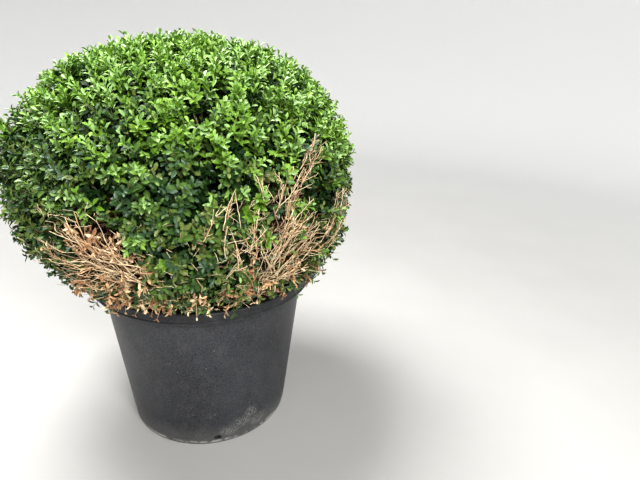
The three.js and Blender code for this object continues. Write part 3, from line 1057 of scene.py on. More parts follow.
# How a kind of leaf looks: stations of half width, fold, droop, length, width, angles from the
# axis at the shoot's foot and tip, and how far its face turns to the light
LEAF_FORMS = {
    NEW: {
        "stations": ((0, 0), (0.36, 0.40), (0.74, 0.5), (1, 0.14)), "fold": 0.8, "droop": 0.4,
        "length": 0.0180, "width": 0.0078, "open": (68, 32), "light": 0.2,
    },
    OLD: {
        "stations": ((0, 0), (0.38, 0.46), (0.80, 0.43), (1, 0)), "fold": 0.55, "droop": 0.4,
        "length": 0.0172, "width": 0.0088, "open": (72, 42), "light": 0.6,
    },
    INNER: {
        "stations": ((0, 0), (0.55, 0.5), (1, 0)), "fold": 0.2, "droop": 0.2,
        "length": 0.0200, "width": 0.0120, "open": (75, 45), "light": 0.7,
    },
    DRY: {
        "stations": ((0, 0), (0.30, 0.46), (0.78, 0.44), (1, 0)), "fold": 1.0, "droop": 0.8,
        "length": 0.0132, "width": 0.0058, "open": (70, 30), "light": 0.0,
    },
}
LEAF_FORMS[WITHERED] = LEAF_FORMS[INNER]
FIRST_PAIR = 0.16
TURN_JITTER = 0.3
SKY_OUT, SKY_UP = 1.4, 0.5
FACE_JITTER = 0.15
LEAF_SIZES = (0.72, 1.15)
LEAF_WIDTHS = (0.9, 1.1)
LAST_LEAF_SHRINK = 0.35
STRAY_TINTS = 0.25

# Shares of a kind's tints low on the crown, and high on it
TINT_ELEVATIONS = (-15, 35)
NEW_TINTS = ((0.25, 0.4, 0.35), (0.42, 0.38, 0.2))
OLD_TINTS = ((0.30, 0.28, 0.24, 0.18), (0.10, 0.52, 0.19, 0.19))
DRY_TINTS = ((0.3, 0.4, 0.3), (0.3, 0.4, 0.3))
ONE_TINT = ((1,), (1,))

# Added to the crown's seed, so that what each rule draws stays the same when another changes
LITTER_SEED, LEAF_SEED, PATCH_SEED, SCATTERED_SEED = 1, 10, 30, 40


def lay_leaves(shoots, form, rng, loose):
    """Opposite pairs of leaves up each shoot, each pair turned a quarter from the one below."""
    first = square_to(helper_for(shoots.axis), shoots.axis)
    second = np.cross(shoots.axis, first)
    start = rng.uniform(0, 2 * math.pi, len(shoots))
    rows = {name: [] for name in ("place", "along", "up", "width", "length", "owner", "share")}
    for pair in range(shoots.pairs.max()):
        on = np.flatnonzero(shoots.pairs > pair)
        share = FIRST_PAIR + (1 - FIRST_PAIR) * pair / np.maximum(shoots.pairs[on] - 1, 1)
        for side in range(2):
            count = len(on)
            turn = start[on] + pair * math.pi / 2 + side * math.pi
            turn = (turn + rng.normal(0, TURN_JITTER, count))[:, None]
            out = first[on] * np.cos(turn) + second[on] * np.sin(turn)
            angle = np.radians(np.interp(share, (0, 1), form["open"]) + rng.normal(0, loose, count))
            angle = angle[:, None]
            axis = shoots.axis[on]
            lengthwise = axis * np.cos(angle) + out * np.sin(angle)
            sky = shoots.out[on] * SKY_OUT + UP * SKY_UP
            face = axis + form["light"] * sky + rng.normal(0, FACE_JITTER, axis.shape)
            size = (1 - LAST_LEAF_SHRINK * share**3) * rng.uniform(*LEAF_SIZES, count)
            rows["place"].append(shoots.base[on] + axis * (shoots.length[on] * share)[:, None])
            rows["along"].append(lengthwise)
            rows["up"].append(square_to(face, lengthwise))
            rows["width"].append(form["width"] * size * rng.uniform(*LEAF_WIDTHS, count))
            rows["length"].append(form["length"] * size)
            rows["owner"].append(on)
            rows["share"].append(share)
    return {name: np.concatenate(parts) for name, parts in rows.items()}


def dealt_tints(shoots, low, high, rng):
    """A tint for each shoot, by the shares low on the crown and high on it."""
    height = ramp(elevation_of(shoots.out), *TINT_ELEVATIONS)[:, None]
    limits = np.cumsum((1 - height) * np.array(low) + height * np.array(high), axis=1)
    return (rng.random((len(shoots), 1)) > limits[:, :-1]).sum(axis=1)


def add_leaves(name, kind, materials, slot, low, high, replaced=(), loose=9, ripe=0.0):
    """All leaves of a kind, with a tint for each shoot.

    Leaves below ripe, a share of the shoot's length, have the next darker tint."""
    made = growth()
    rng = np.random.default_rng(made.sizes.seed + LEAF_SEED + kind)
    shoots = made.shoots.chosen(made.shoots.kind == kind)
    form = LEAF_FORMS[kind]
    rows = lay_leaves(shoots, form, rng, loose)
    model = model_leaf(form["stations"], form["fold"], form["droop"])
    points = lay(model, rows["place"], rows["along"], rows["up"], rows["width"], rows["length"])
    owner = rows["owner"]
    tints = dealt_tints(shoots, low, high, rng)[owner] + (rows["share"] < ripe)
    stray = rng.random(len(owner)) < STRAY_TINTS
    tints = np.where(stray, dealt_tints(shoots, low, high, rng)[owner], tints)
    tints = np.minimum(tints, len(materials) - 1)
    add_joined(name, model, points, shoots.out[owner], tints, materials, replaced)


# Bare dead twigs

# A bare stem forks at its nodes into side twigs, and those into the finest ones
ORDER_NAMES = ("stems", "side_twigs", "fine_twigs")
ORDER_STEPS = (8, 4, 3)
ORDER_SIDES = (4, 3, 3)

# At each node of a stem, and of a side twig: the chances of no twig, of one and of two
NODE_TWIGS = ((0.48, 0.45, 0.07), (0.8, 0.17, 0.03))
TWIG_WANDER = 0.08
TWIG_KINK = 0.09
TWIG_BOB = 0.0012
BARE_TAPER = 0.55
FORK_ANGLES = (0.32, 0.85)

# A side twig by its parent: share of the length, how that fades, rise and radius
SIDE_LENGTH_SHARES = (0.3, 0.6)
SIDE_FADE = 1.2
LONGEST_SIDE = 0.055
SIDE_RISE, SIDE_RISE_SPREAD = 0.15, 0.3
SIDE_RADIUS_SHARES = (0.55, 0.8)

# A bundle's stem: where it starts on its way, how much of it it grows, and how it turns and climbs
STEM_STARTS = (0, 0.3)
STEM_SHARES = (0.6, 0.9)
STEM_TURN = 0.25
STEM_CLIMBS = (0.6, 1.0)

# Metres along the skin for a degree seen from the centre
SKIN_DEGREE = 0.0059
HEM_REACH = 0.25
MOST_PROUD = -0.012
STRAW, TAN, PINK, SHADED = range(4)
SHADED_DEPTH = 0.014

# Each patch: its bundles, their spread in degrees, radii of the stems, depths below the skin,
# shares of the straw, tan and pink tints, and the node that it replaces
PATCHES = {
    "left": (
        LEFT_BUNDLES, 3.0, (0.0008, 0.0014), (0.004, 0.032), (0.42, 0.36, 0.22),
        ["dead_twigs_left"],
    ),
    "right": (
        RIGHT_BUNDLES, 3.2, (0.0008, 0.0013), (0.006, 0.036), (0.60, 0.22, 0.18),
        ["dead_twigs_right"],
    ),
    "strand": (STRAND_BUNDLES, 1.5, (0.0007, 0.0011), (0.002, 0.018), (0.55, 0.25, 0.20), []),
    "middle": (MIDDLE_BUNDLES, 2.4, (0.0008, 0.0011), (0.002, 0.018), (0.70, 0.20, 0.10), []),
}

# Single bare twigs, low on the crown. SCATTERED_BEHIND is their share away from the front
SCATTERED_DEPTHS = (0.002, 0.016)
SCATTERED_TINTS = (0.7, 0.2, 0.1)
SCATTERED_JITTER = 0.5
SCATTERED_BEHIND = 0.08
SCATTERED_FRONT = (0.6, 0.85)
SCATTERED_ELEVATIONS = (-12, 12)
SCATTERED_TURN = 0.8
SCATTERED_LENGTHS = (0.008, 0.020)
SCATTERED_RADIUS = 0.0006


class BareTwigs:
    """Bare twigs over a patch. A place is an azimuth, an elevation and a depth below the skin."""

    def __init__(self, seed):
        self.rng = np.random.default_rng(seed)
        self.orders = [[] for _ in ORDER_NAMES]

    def bundle(self, root, tip, count, spread, radii, depths):
        """Stems that start deep near a root and head out for a tip."""
        rng = self.rng
        for _ in range(count):
            start = np.array(root) + rng.normal(0, spread, 2)
            way = np.array(tip) + rng.normal(0, spread, 2) - start
            start = start + way * rng.uniform(*STEM_STARTS)
            way = way * rng.uniform(*STEM_SHARES)
            heading = math.atan2(way[1], way[0]) + rng.normal(0, STEM_TURN)
            depth = rng.uniform(*depths)
            climb = depth * rng.uniform(*STEM_CLIMBS)
            length = np.linalg.norm(way) * SKIN_DEGREE
            self.grow((*start, depth), heading, length, climb, rng.uniform(*radii), 0)

    def scatter(self, toward, depths):
        """Single side twigs that stand here and there among the leaves."""
        rng = self.rng
        for azimuth, elevation in zip(azimuth_of(toward), elevation_of(toward)):
            heading = math.pi / 2 + rng.normal(0, SCATTERED_TURN)
            length, depth = rng.uniform(*SCATTERED_LENGTHS), rng.uniform(*depths)
            self.grow((azimuth, elevation, depth), heading, length, depth, SCATTERED_RADIUS, 1)

    def grow(self, place, heading, length, climb, radius, order):
        """A kinked twig that climbs out from its place, and the finer ones at its nodes."""
        rng = self.rng
        steps = ORDER_STEPS[order]
        kinks = TWIG_KINK * rng.choice((-1, 1)) * (-1.0) ** np.arange(steps)
        turns = heading + kinks + np.cumsum(rng.normal(0, TWIG_WANDER, steps))
        ahead = np.stack([np.cos(turns), np.sin(turns), np.full(steps, -climb / steps)], axis=1)
        ahead[:, :2] *= length / steps / SKIN_DEGREE
        ahead[:, 2] += rng.normal(0, TWIG_BOB, steps)
        places = np.array(place) + np.vstack([np.zeros(3), np.cumsum(ahead, axis=0)])
        self.orders[order].append((places, radius))
        if order + 1 == len(ORDER_NAMES):
            return
        for at in range(1, steps):
            for hand in rng.permutation((-1, 1))[:rng.choice(3, p=NODE_TWIGS[order])]:
                turn = turns[at] + hand * rng.uniform(*FORK_ANGLES)
                fade = SIDE_FADE - at / steps
                side = min(length * rng.uniform(*SIDE_LENGTH_SHARES) * fade, LONGEST_SIDE)
                out = side * rng.normal(SIDE_RISE, SIDE_RISE_SPREAD)
                thinner = radius * rng.uniform(*SIDE_RADIUS_SHARES)
                self.grow(places[at], turn, side, out, thinner, order + 1)

    def laid(self, order, shares):
        """Paths, radii, outward directions and tints of all twigs of an order."""
        places = np.array([each[0] for each in self.orders[order]])
        radii = np.array([each[1] for each in self.orders[order]])
        corners = places.shape[1]
        toward = direction(places[..., 0], places[..., 1])
        reach = skin().meet(toward.reshape(-1, 3))[0].reshape(-1, corners)
        held = reach.min(axis=1) > HEM_REACH
        places, radii, toward, reach = (each[held] for each in (places, radii, toward, reach))
        count = len(places)
        reach = np.clip(reach, *PATCH_REACH) - np.maximum(places[..., 2], MOST_PROUD)
        paths = CROWN_CENTRE + toward * reach[..., None]
        radii = radii[:, None] * np.linspace(1, BARE_TAPER, corners)
        tints = self.rng.choice((STRAW, TAN, PINK), size=count, p=shares)
        # Painted shade: twigs deeper than SHADED_DEPTH take the darker shaded tint
        tints = np.where(places[:, corners // 2, 2] > SHADED_DEPTH, SHADED, tints)
        return paths, radii, toward[:, 0], tints


# Stem, pot and soil

def limb_tube(path, radii, sides):
    """One limb as a closed bmesh tube along a path."""
    model = model_twig(sides, len(path) - 1)
    points = bend(model, path[None], radii[None])[0]
    bm = bmesh.new()
    corners = [bm.verts.new(point) for point in points]
    for face in model.faces:
        bm.faces.new([corners[corner] for corner in face])
    return bm


STEM_STEPS, STEM_SIDES = 24, 32
BOUGH_STEPS, BOUGH_SIDES = 30, 16
STEM_SINK = 0.004
STEM_CUT = 0.002
FORK_EASINGS = 4
BARK_VOXEL = 0.0018

# Ridges in the bark: how many to the metre, how that slows along the stem, and how high
BARK_RIDGES = ((70, 0.3, 0.0011), (150, 0.4, 0.0006))


def make_stem(material):
    """Stem and boughs as one grown form, with the bark's ridges and knots in its surface."""
    share = np.linspace(0, 1, STEM_STEPS + 1)
    path = (STEM_FOOT - STEM_SINK * UP) * (1 - share)[:, None] + STEM_FORK * share[:, None]
    radii = np.interp(share, (0, 1), STEM_RADII) + STEM_FLARE * np.exp(-share / STEM_FLARE_SHARE)
    whole = limb_tube(path, radii, STEM_SIDES)
    for number in range(BOUGHS):
        tube = limb_tube(*bough_path(number, BOUGH_STEPS), BOUGH_SIDES)
        part = bpy.data.meshes.new("bough")
        tube.to_mesh(part)
        tube.free()
        whole.from_mesh(part)
    subject = linked("stem_and_boughs_form", mesh_of("stem_and_boughs", whole))
    remesh = subject.modifiers.new("grow together", "REMESH")
    remesh.mode = "VOXEL"
    remesh.voxel_size = BARK_VOXEL
    smooth = subject.modifiers.new("ease the forks", "SMOOTH")
    smooth.iterations = FORK_EASINGS
    bpy.context.view_layer.update()
    mesh = finished(subject, "stem_and_boughs")
    bpy.data.objects.remove(subject)
    bm = bmesh.new()
    bm.from_mesh(mesh)
    bm.normal_update()
    for vertex in bm.verts:
        lift = 0
        for scale, stretch, height in BARK_RIDGES:
            place = Vector((vertex.co.x, vertex.co.y, vertex.co.z * stretch)) * scale
            lift += height * noise.noise(place)
        vertex.co += vertex.normal * lift
    bmesh.ops.bisect_plane(
        bm, geom=bm.verts[:] + bm.edges[:] + bm.faces[:], plane_co=(0, 0, STEM_FOOT[2] - STEM_CUT),
        plane_no=(0, 0, -1), clear_outer=True,
    )
    close(bm)
    nodes = ["stem"] + [f"bough_{number + 1}" for number in range(BOUGHS)]
    add_piece("stem_and_boughs", mesh_of("stem_and_boughs", bm), [material], nodes)


def arc(centre, radius, start, end, steps):
    """Points from start to end degrees round a centre, all as distance out and level."""
    angles = [math.radians(start + (end - start) * step / steps) for step in range(steps + 1)]
    return [(centre[0] + radius * math.cos(a), centre[1] + radius * math.sin(a)) for a in angles]


FOOT_ROUNDING = 0.006
RIM_BEAD = 0.006
RIM_BEAD_DEPTH = 0.0012
RIM_ROUNDING = 0.0045
BAND_STEP = 0.0012
BAND_ROLL = 0.0022
WALL_RINGS = 9
POT_SPIN = 144
POT_SHARP = 40


def pot_section(pot):
    """The wall's section, from the middle of the underside over the rim to the middle inside."""
    under = pot.height - pot.rim_depth
    band = pot.rim_radius - RIM_BEAD_DEPTH
    inner = pot.body_radius - pot.wall
    floor_edge = pot.base_radius - pot.wall
    return [
        (0, 0), (pot.base_radius * 0.6, 0),
        *arc((pot.base_radius - FOOT_ROUNDING, FOOT_ROUNDING), FOOT_ROUNDING, -90, -7, 5),
        *[
            (pot.base_radius + (pot.body_radius - pot.base_radius) * level / under, level)
            for level in np.linspace(0.03, under - 0.008, WALL_RINGS)
        ],
        (pot.body_radius, under - 0.002), (pot.body_radius + BAND_STEP, under),
        *arc((pot.rim_radius - BAND_ROLL, under + BAND_ROLL), BAND_ROLL, -90, 0, 3),
        (pot.rim_radius, under + RIM_BEAD - 0.001), (band, under + RIM_BEAD),
        (band, under + RIM_BEAD + 0.0015),
        *arc((band - RIM_ROUNDING + 0.0006, pot.height - RIM_ROUNDING), RIM_ROUNDING, 0, 90, 6),
        *arc((inner + RIM_ROUNDING, pot.height - RIM_ROUNDING), RIM_ROUNDING, 90, 180, 6),
        (inner, under), (floor_edge + 0.001, pot.floor + 0.006), (floor_edge - 0.005, pot.floor),
        (0, pot.floor),
    ]


def spun(section, steps):
    """A section of distance out and level, spun into a closed form."""
    bm = bmesh.new()
    corners = [bm.verts.new((out, 0, level)) for out, level in section]
    edges = [bm.edges.new(pair) for pair in zip(corners, corners[1:])]
    bmesh.ops.spin(
        bm, geom=corners + edges, cent=(0, 0, 0), axis=(0, 0, 1), angle=2 * math.pi,
        steps=steps, use_merge=True, use_duplicate=False,
    )
    bmesh.ops.remove_doubles(bm, verts=bm.verts[:], dist=1e-6)
    bmesh.ops.recalc_face_normals(bm, faces=bm.faces[:])
    return bm


DRAIN_HOLES = 4
DRAIN_HOLE_SIZE = (0.017, 0.012)
DRAIN_HOLE_LEVEL = 0.019
DRAIN_HOLE_TURN = -88
PLUG_SIDES, PLUG_DEPTH = 24, 0.02


def drain_hole(number, radius):
    """A short oval plug that cuts one drain hole through the wall."""
    bm = bmesh.new()
    bmesh.ops.create_cone(
        bm, cap_ends=True, segments=PLUG_SIDES, radius1=0.5, radius2=0.5, depth=PLUG_DEPTH,
        matrix=Matrix.Rotation(math.pi / 2, 4, "Y"),
    )
    bmesh.ops.scale(bm, vec=(1, *DRAIN_HOLE_SIZE), verts=bm.verts[:])
    bmesh.ops.translate(bm, vec=(radius, 0, DRAIN_HOLE_LEVEL), verts=bm.verts[:])
    turn = math.radians(DRAIN_HOLE_TURN + 360 * number / DRAIN_HOLES)
    bmesh.ops.rotate(bm, cent=(0, 0, 0), matrix=Matrix.Rotation(turn, 3, "Z"), verts=bm.verts[:])
    return mesh_of("drain_hole", bm)


def make_pot(pot, material):
    body = mesh_of("pot_body", spun(pot_section(pot), POT_SPIN))
    holes = [drain_hole(number, pot.base_radius) for number in range(DRAIN_HOLES)]
    mesh = smoothed(combined("nursery_pot", body, holes, "DIFFERENCE"), POT_SHARP)
    add_piece("nursery_pot", mesh, [material], ["pot"])


HANDLE_SPAN = 0.102
HANDLE_RIB = 0.004
HANDLE_TOP = 0.397
HANDLE_BAR = (0.012, 0.009)
HANDLE_SHARP = 35
BAR_EASE = (0.0022, 3)
RIB_EASE = (0.0008, 2)
RIB_OUTLINE = (
    (0.2135, 0.295), (0.239, 0.325), (0.250, 0.338), (0.256, 0.354), (0.257, 0.397),
    (0.245, 0.397), (0.245, 0.388), (0.236, 0.3660), (0.230, 0.3635), (0.230, 0.3415),
    (0.2195, 0.339),
)


def rib_plate(side):
    """One upright rib of a handle, with eased edges."""
    bm = bmesh.new()
    near = side * HANDLE_SPAN / 2 - HANDLE_RIB / 2
    face = bm.faces.new([bm.verts.new((out, near, level)) for out, level in RIB_OUTLINE])
    grown = bmesh.ops.extrude_face_region(bm, geom=[face])
    bmesh.ops.translate(bm, vec=(0, HANDLE_RIB, 0), verts=new_corners(grown))
    bmesh.ops.recalc_face_normals(bm, faces=bm.faces[:])
    rims = [edge for edge in bm.edges if abs(edge.verts[0].co.y - edge.verts[1].co.y) < 1e-6]
    ease(bm, rims, *RIB_EASE)
    return mesh_of("rib", bm)


def handle_bar():
    """The grip, a flat bar with rounded edges."""
    bm = bmesh.new()
    bmesh.ops.create_cube(bm, size=1)
    width, thickness = HANDLE_BAR
    bmesh.ops.scale(bm, vec=(width, HANDLE_SPAN + HANDLE_RIB, thickness), verts=bm.verts[:])
    middle = (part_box("handle_right")[1].x - width / 2, 0, HANDLE_TOP - thickness / 2)
    bmesh.ops.translate(bm, vec=middle, verts=bm.verts[:])
    ease(bm, bm.edges[:], *BAR_EASE)
    return mesh_of("bar", bm)


def make_handle(name, turned, material):
    mesh = combined(name, handle_bar(), [rib_plate(-1), rib_plate(1)], "UNION")
    if turned:
        mesh.transform(Matrix.Rotation(math.pi, 4, "Z"))
    add_piece(f"{name}_grip", smoothed(mesh, HANDLE_SHARP), [material], [name])


SOIL_CELLS = 90
SOIL_SINK = 0.004
SOIL_DOME = 0.007
SOIL_GAP = 0.0005
SOIL_SHARP = 50

# The foot of the soil's side: its share of the top's radius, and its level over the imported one
SOIL_FOOT = 0.76
SOIL_FOOT_RISE = 0.001
SOIL_BUMPS = ((18, 0.0035), (60, 0.0018), (190, 0.0012))


def make_soil(material):
    """The filling: a crumbly domed top over a plain body."""
    low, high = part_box("soil")
    radius = high.x - SOIL_GAP
    bm = bmesh.new()
    bmesh.ops.create_grid(bm, x_segments=SOIL_CELLS, y_segments=SOIL_CELLS, size=1)
    for vertex in bm.verts:
        x, y = vertex.co.x, vertex.co.y
        disc = Vector((x * math.sqrt(1 - y * y / 2), y * math.sqrt(1 - x * x / 2), 0))
        lift = -SOIL_DOME * disc.length**2 - SOIL_SINK
        vertex.co = disc * radius
        for scale, height in SOIL_BUMPS:
            lift += height * noise.noise(vertex.co * scale)
        vertex.co.z = high.z + lift
    grown = bmesh.ops.extrude_edge_only(bm, edges=boundary(bm))
    for vertex in new_corners(grown):
        vertex.co = (vertex.co.x * SOIL_FOOT, vertex.co.y * SOIL_FOOT, low.z + SOIL_FOOT_RISE)
    close(bm)
    mesh = mesh_of("potting_soil", bm, SOIL_SHARP)
    add_piece("potting_soil", mesh, [material], ["soil"])


LITTER_REACH, LEAST_LITTER_SHARE = 0.205, 0.04
LITTER_DOME_RADIUS = 0.215
LITTER_LEVELS = (-0.001, 0.004)
LITTER_TILT, LITTER_ROLL = 0.12, 0.25
LITTER_DROOP = 0.4
LITTER_SIZES = (0.8, 1.2)


def make_litter(count, materials, seed):
    """Dry leaves that lie on the soil."""
    rng = np.random.default_rng(seed)
    form = LEAF_FORMS[DRY]
    turn = rng.uniform(0, 2 * math.pi, count)
    out = LITTER_REACH * np.sqrt(rng.uniform(LEAST_LITTER_SHARE, 1, count))
    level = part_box("soil")[1].z - SOIL_DOME * (out / LITTER_DOME_RADIUS) ** 2
    level = level + rng.uniform(*LITTER_LEVELS, count)
    place = np.stack([out * np.cos(turn), out * np.sin(turn), level], axis=1)
    heading = rng.uniform(0, 2 * math.pi, count)
    tilt = rng.normal(0, LITTER_TILT, count)
    lengthwise = unit(np.stack([np.cos(heading), np.sin(heading), tilt], axis=1))
    face = square_to(UP + rng.normal(0, LITTER_ROLL, (count, 3)), lengthwise)
    model = model_leaf(form["stations"], form["fold"], form["droop"] * LITTER_DROOP)
    size = rng.uniform(*LITTER_SIZES, count)
    points = lay(model, place, lengthwise, face, form["width"] * size, form["length"] * size)
    tints = rng.integers(len(materials), size=count)
    mesh = joined_mesh("leaf_litter", model, points, tints)
    add_piece("leaf_litter", mesh, materials)


# Settings

def colour_property(name, description, default):
    return bpy.props.FloatVectorProperty(
        name=name, description=description, default=default, size=3, min=0, max=1, subtype="COLOR"
    )


def length_property(name, description, default):
    return bpy.props.FloatProperty(
        name=name, description=description, default=default, min=0, unit="LENGTH"
    )


def count_property(name, description, default):
    return bpy.props.IntProperty(name=name, description=description, default=default, min=0)


def power_property(name, description, default):
    return bpy.props.FloatProperty(
        name=name, description=description, default=default, unit="POWER"
    )


class CrownSettings(bpy.types.PropertyGroup):
    seed: count_property("Seed", "Start of the growth's random numbers", 7)
    tufts: count_property("Tufts", "Tufts of shoots spread over a whole sphere", 1800)
    deep_shoots: count_property("Deep shoots", "Shoots below the tufts over a whole sphere", 1500)
    bare_twigs: count_property("Bare twigs", "Places for single ones over a whole sphere", 5000)
    inner_shoots: count_property("Inner shoots", "Shaded shoots over a whole sphere", 2500)
    fringe_shoots: count_property("Fringe shoots", "Shoots that hang over the rim", 330)
    litter: count_property("Leaf litter", "Dry leaves that lie on the soil", 700)


class LeafTints(bpy.types.PropertyGroup):
    # The spring and lime greens are the new leaves' own colours, lightened as a painted glow of
    # light passing through them
    spring: colour_property("Spring green", "Freshest shoots", (0.250, 0.400, 0.130))
    lime: colour_property("Lime green", "New shoots", (0.208, 0.355, 0.058))
    grass: colour_property("Grass green", "Ripening shoots", (0.138, 0.262, 0.028))
    box: colour_property("Box green", "Grown leaves", (0.082, 0.152, 0.030))
    deep: colour_property("Deep green", "Old leaves", (0.030, 0.070, 0.016))
    blue: colour_property("Blue green", "Old leaves with a grey bloom", (0.048, 0.094, 0.044))
    olive: colour_property("Olive green", "Tired leaves", (0.124, 0.160, 0.040))
    # Painted shade: a near-black green, darker than real leaves, for the shade inside the crown
    shade: colour_property("Shade green", "Leaves inside the crown", (0.009, 0.026, 0.005))
    straw: colour_property("Straw", "Palest dry leaves and twigs", (0.820, 0.635, 0.410))
    tan: colour_property("Tan", "Dry leaves and twigs", (0.620, 0.395, 0.220))
    rust: colour_property("Rust", "Darkest dry leaves", (0.360, 0.190, 0.095))
    pink: colour_property("Pink brown", "Bare twigs", (0.360, 0.235, 0.160))
    # Withered brown is the dead leaves' own colour, made darker as painted shade inside a dead
    # patch
    withered: colour_property("Withered brown", "Leaves inside a dead patch", (0.036, 0.018, 0.005))
    bark: colour_property("Bark", "Stem, boughs and branches", (0.260, 0.200, 0.130))


class PotSettings(bpy.types.PropertyGroup):
    height: length_property("Height", "Underside to rim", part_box("pot")[1].z)
    rim_radius: length_property("Rim radius", "Outside of the rim band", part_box("pot")[1].x)
    rim_depth: length_property("Rim depth", "Height of the rim band", 0.025)
    body_radius: length_property("Body radius", "Wall just under the rim", 0.221)
    base_radius: length_property("Base radius", "Wall at the foot", 0.182)
    wall: length_property("Wall", "Thickness of the wall", 0.0035)
    floor: length_property("Floor", "Thickness of the floor", 0.004)
    plastic: colour_property("Plastic", "Colour of the plastic", (0.030, 0.031, 0.035))
    dust: colour_property("Dust", "Colour of dust and scuffs", (0.42, 0.41, 0.38))
    soil: colour_property("Soil", "Colour of the potting mix", (0.050, 0.036, 0.025))


class StageSettings(bpy.types.PropertyGroup):
    floor: colour_property("Floor", "Colour of the floor", (0.42, 0.415, 0.40))
    wall: colour_property("Wall", "Colour of the wall behind", (0.88, 0.88, 0.87))
    sky: colour_property("Sky", "Colour of the light from all round", (0.95, 0.97, 1.0))
    sky_strength: bpy.props.FloatProperty(
        name="Sky strength", description="Light from all round", default=0.12, min=0
    )
    overhead: power_property("Overhead light", "Power of the large light above", 132)
    front: power_property("Front light", "Power of the soft light in front", 124)


SETTINGS = {
    "ball_crown": CrownSettings,
    "ball_tints": LeafTints,
    "ball_pot": PotSettings,
    "ball_stage": StageSettings,
}


# Operators

def tint(name):
    return tuple(getattr(bpy.context.scene.ball_tints, name))


def leaf_materials(names, kind="leaf", **looks):
    return [leaf_material(f"{kind}_{name}", tint(name), **looks) for name in names]


@lru_cache(maxsize=None)
def dry_leaf_materials():
    return leaf_materials(("straw", "tan", "rust"), "dry_leaf", rough=0.7, rib=1.15)


@lru_cache(maxsize=None)
def plastic_material():
    pot = bpy.context.scene.ball_pot
    return pot_material("pot_plastic", tuple(pot.plastic), tuple(pot.dust))


class BALL_OT_pot(bpy.types.Operator):
    """Make the nursery pot with its rolled rim and drain holes"""
    bl_idname = "ball.make_pot"
    bl_label = "Pot"

    def execute(self, context):
        make_pot(context.scene.ball_pot, plastic_material())
        return {"FINISHED"}


class BALL_OT_handles(bpy.types.Operator):
    """Make the two handles that flare out past the rim"""
    bl_idname = "ball.make_handles"
    bl_label = "Handles"

    def execute(self, context):
        make_handle("handle_right", False, plastic_material())
        make_handle("handle_left", True, plastic_material())
        return {"FINISHED"}


class BALL_OT_soil(bpy.types.Operator):
    """Make the soil and the dry leaves on it"""
    bl_idname = "ball.make_soil"
    bl_label = "Soil"

    def execute(self, context):
        make_soil(soil_material("potting_soil", tuple(context.scene.ball_pot.soil)))
        crown = context.scene.ball_crown
        make_litter(crown.litter, dry_leaf_materials(), crown.seed + LITTER_SEED)
        return {"FINISHED"}


class BALL_OT_stem(bpy.types.Operator):
    """Make the stem and boughs with the relief of their bark"""
    bl_idname = "ball.make_stem"
    bl_label = "Stem and boughs"

    def execute(self, context):
        make_stem(bark_material("bark", tint("bark")))
        return {"FINISHED"}


# The tint of each kind of shoot's stem, in the order of the kinds
STEM_TINTS = (
    ("new", "lime"), ("old", "olive"), ("inner", "shade"), ("dry", "tan"), ("withered", "withered"),
)


class BALL_OT_branches(bpy.types.Operator):
    """Grow the limbs, branches, twigs and leafy shoots' stems"""
    bl_idname = "ball.grow_branches"
    bl_label = "Branches and twigs"

    def execute(self, context):
        made = growth()
        bark = bark_material("branch_bark", tint("bark"))
        levels = (("limbs", made.limbs, LIMBS), ("branches", made.branches, BRANCHES))
        for name, paths, rule in levels:
            radii, toward = taper(rule["radii"], paths), paths[:, -1] - CROWN_CENTRE
            tints = np.zeros(len(paths), dtype=int)
            add_bent(name, paths, radii, rule["sides"], toward, tints, [bark])
        self.add_twigs(made)
        return {"FINISHED"}

    def add_twigs(self, made):
        materials = [
            twig_material("twig_brown", shaded(tint("bark"), 0.8)),
            twig_material("twig_dead", tint("pink")),
        ]
        dead = (made.zone != GREEN).astype(int)
        radii = taper(TWIG_RADII, made.twigs)
        add_bent("twigs", made.twigs, radii, TWIG_SIDES, made.toward, dead, materials)
        shoots = made.shoots
        ends = shoots.base + shoots.axis * shoots.length[:, None]
        paths = np.stack([shoots.base, ends], axis=1)
        radii = taper(SHOOT_RADII, paths)
        stems = [twig_material(f"shoot_{kind}", tint(name)) for kind, name in STEM_TINTS]
        add_bent("shoot_stems", paths, radii, TWIG_SIDES, shoots.out, shoots.kind, stems)


class BALL_OT_leaves(bpy.types.Operator):
    """Grow the living leaves: new, old and shaded ones"""
    bl_idname = "ball.grow_leaves"
    bl_label = "Leaves"

    def execute(self, context):
        new = leaf_materials(("spring", "lime", "grass"), rough=0.38, coat=0.2, gloss=0.4)
        old = leaf_materials(("olive", "box", "blue", "deep"), rough=0.38, coat=0.15, gloss=0.3)
        # The shade tint, and in part the withered one, are painted shade inside the crown and the
        # dead patches
        shade = leaf_materials(("shade",), rough=0.5, gloss=0.1)
        withered = leaf_materials(("withered",), rough=0.8, gloss=0.05)
        crown = ["crown"]
        add_leaves("new_leaves", NEW, new, "foliage", *NEW_TINTS, crown, ripe=0.65)
        add_leaves("old_leaves", OLD, old, "foliage", *OLD_TINTS, crown)
        add_leaves("inner_leaves", INNER, shade, "foliage", *ONE_TINT, crown, loose=14)
        add_leaves("withered_leaves", WITHERED, withered, "dead_twigs", *ONE_TINT, loose=20)
        return {"FINISHED"}


class BALL_OT_dry_leaves(bpy.types.Operator):
    """Grow the clusters of dry leaves"""
    bl_idname = "ball.grow_dry_leaves"
    bl_label = "Dry leaves"

    def execute(self, context):
        add_leaves("dry_leaves", DRY, dry_leaf_materials(), "dead_twigs", *DRY_TINTS, loose=22)
        return {"FINISHED"}


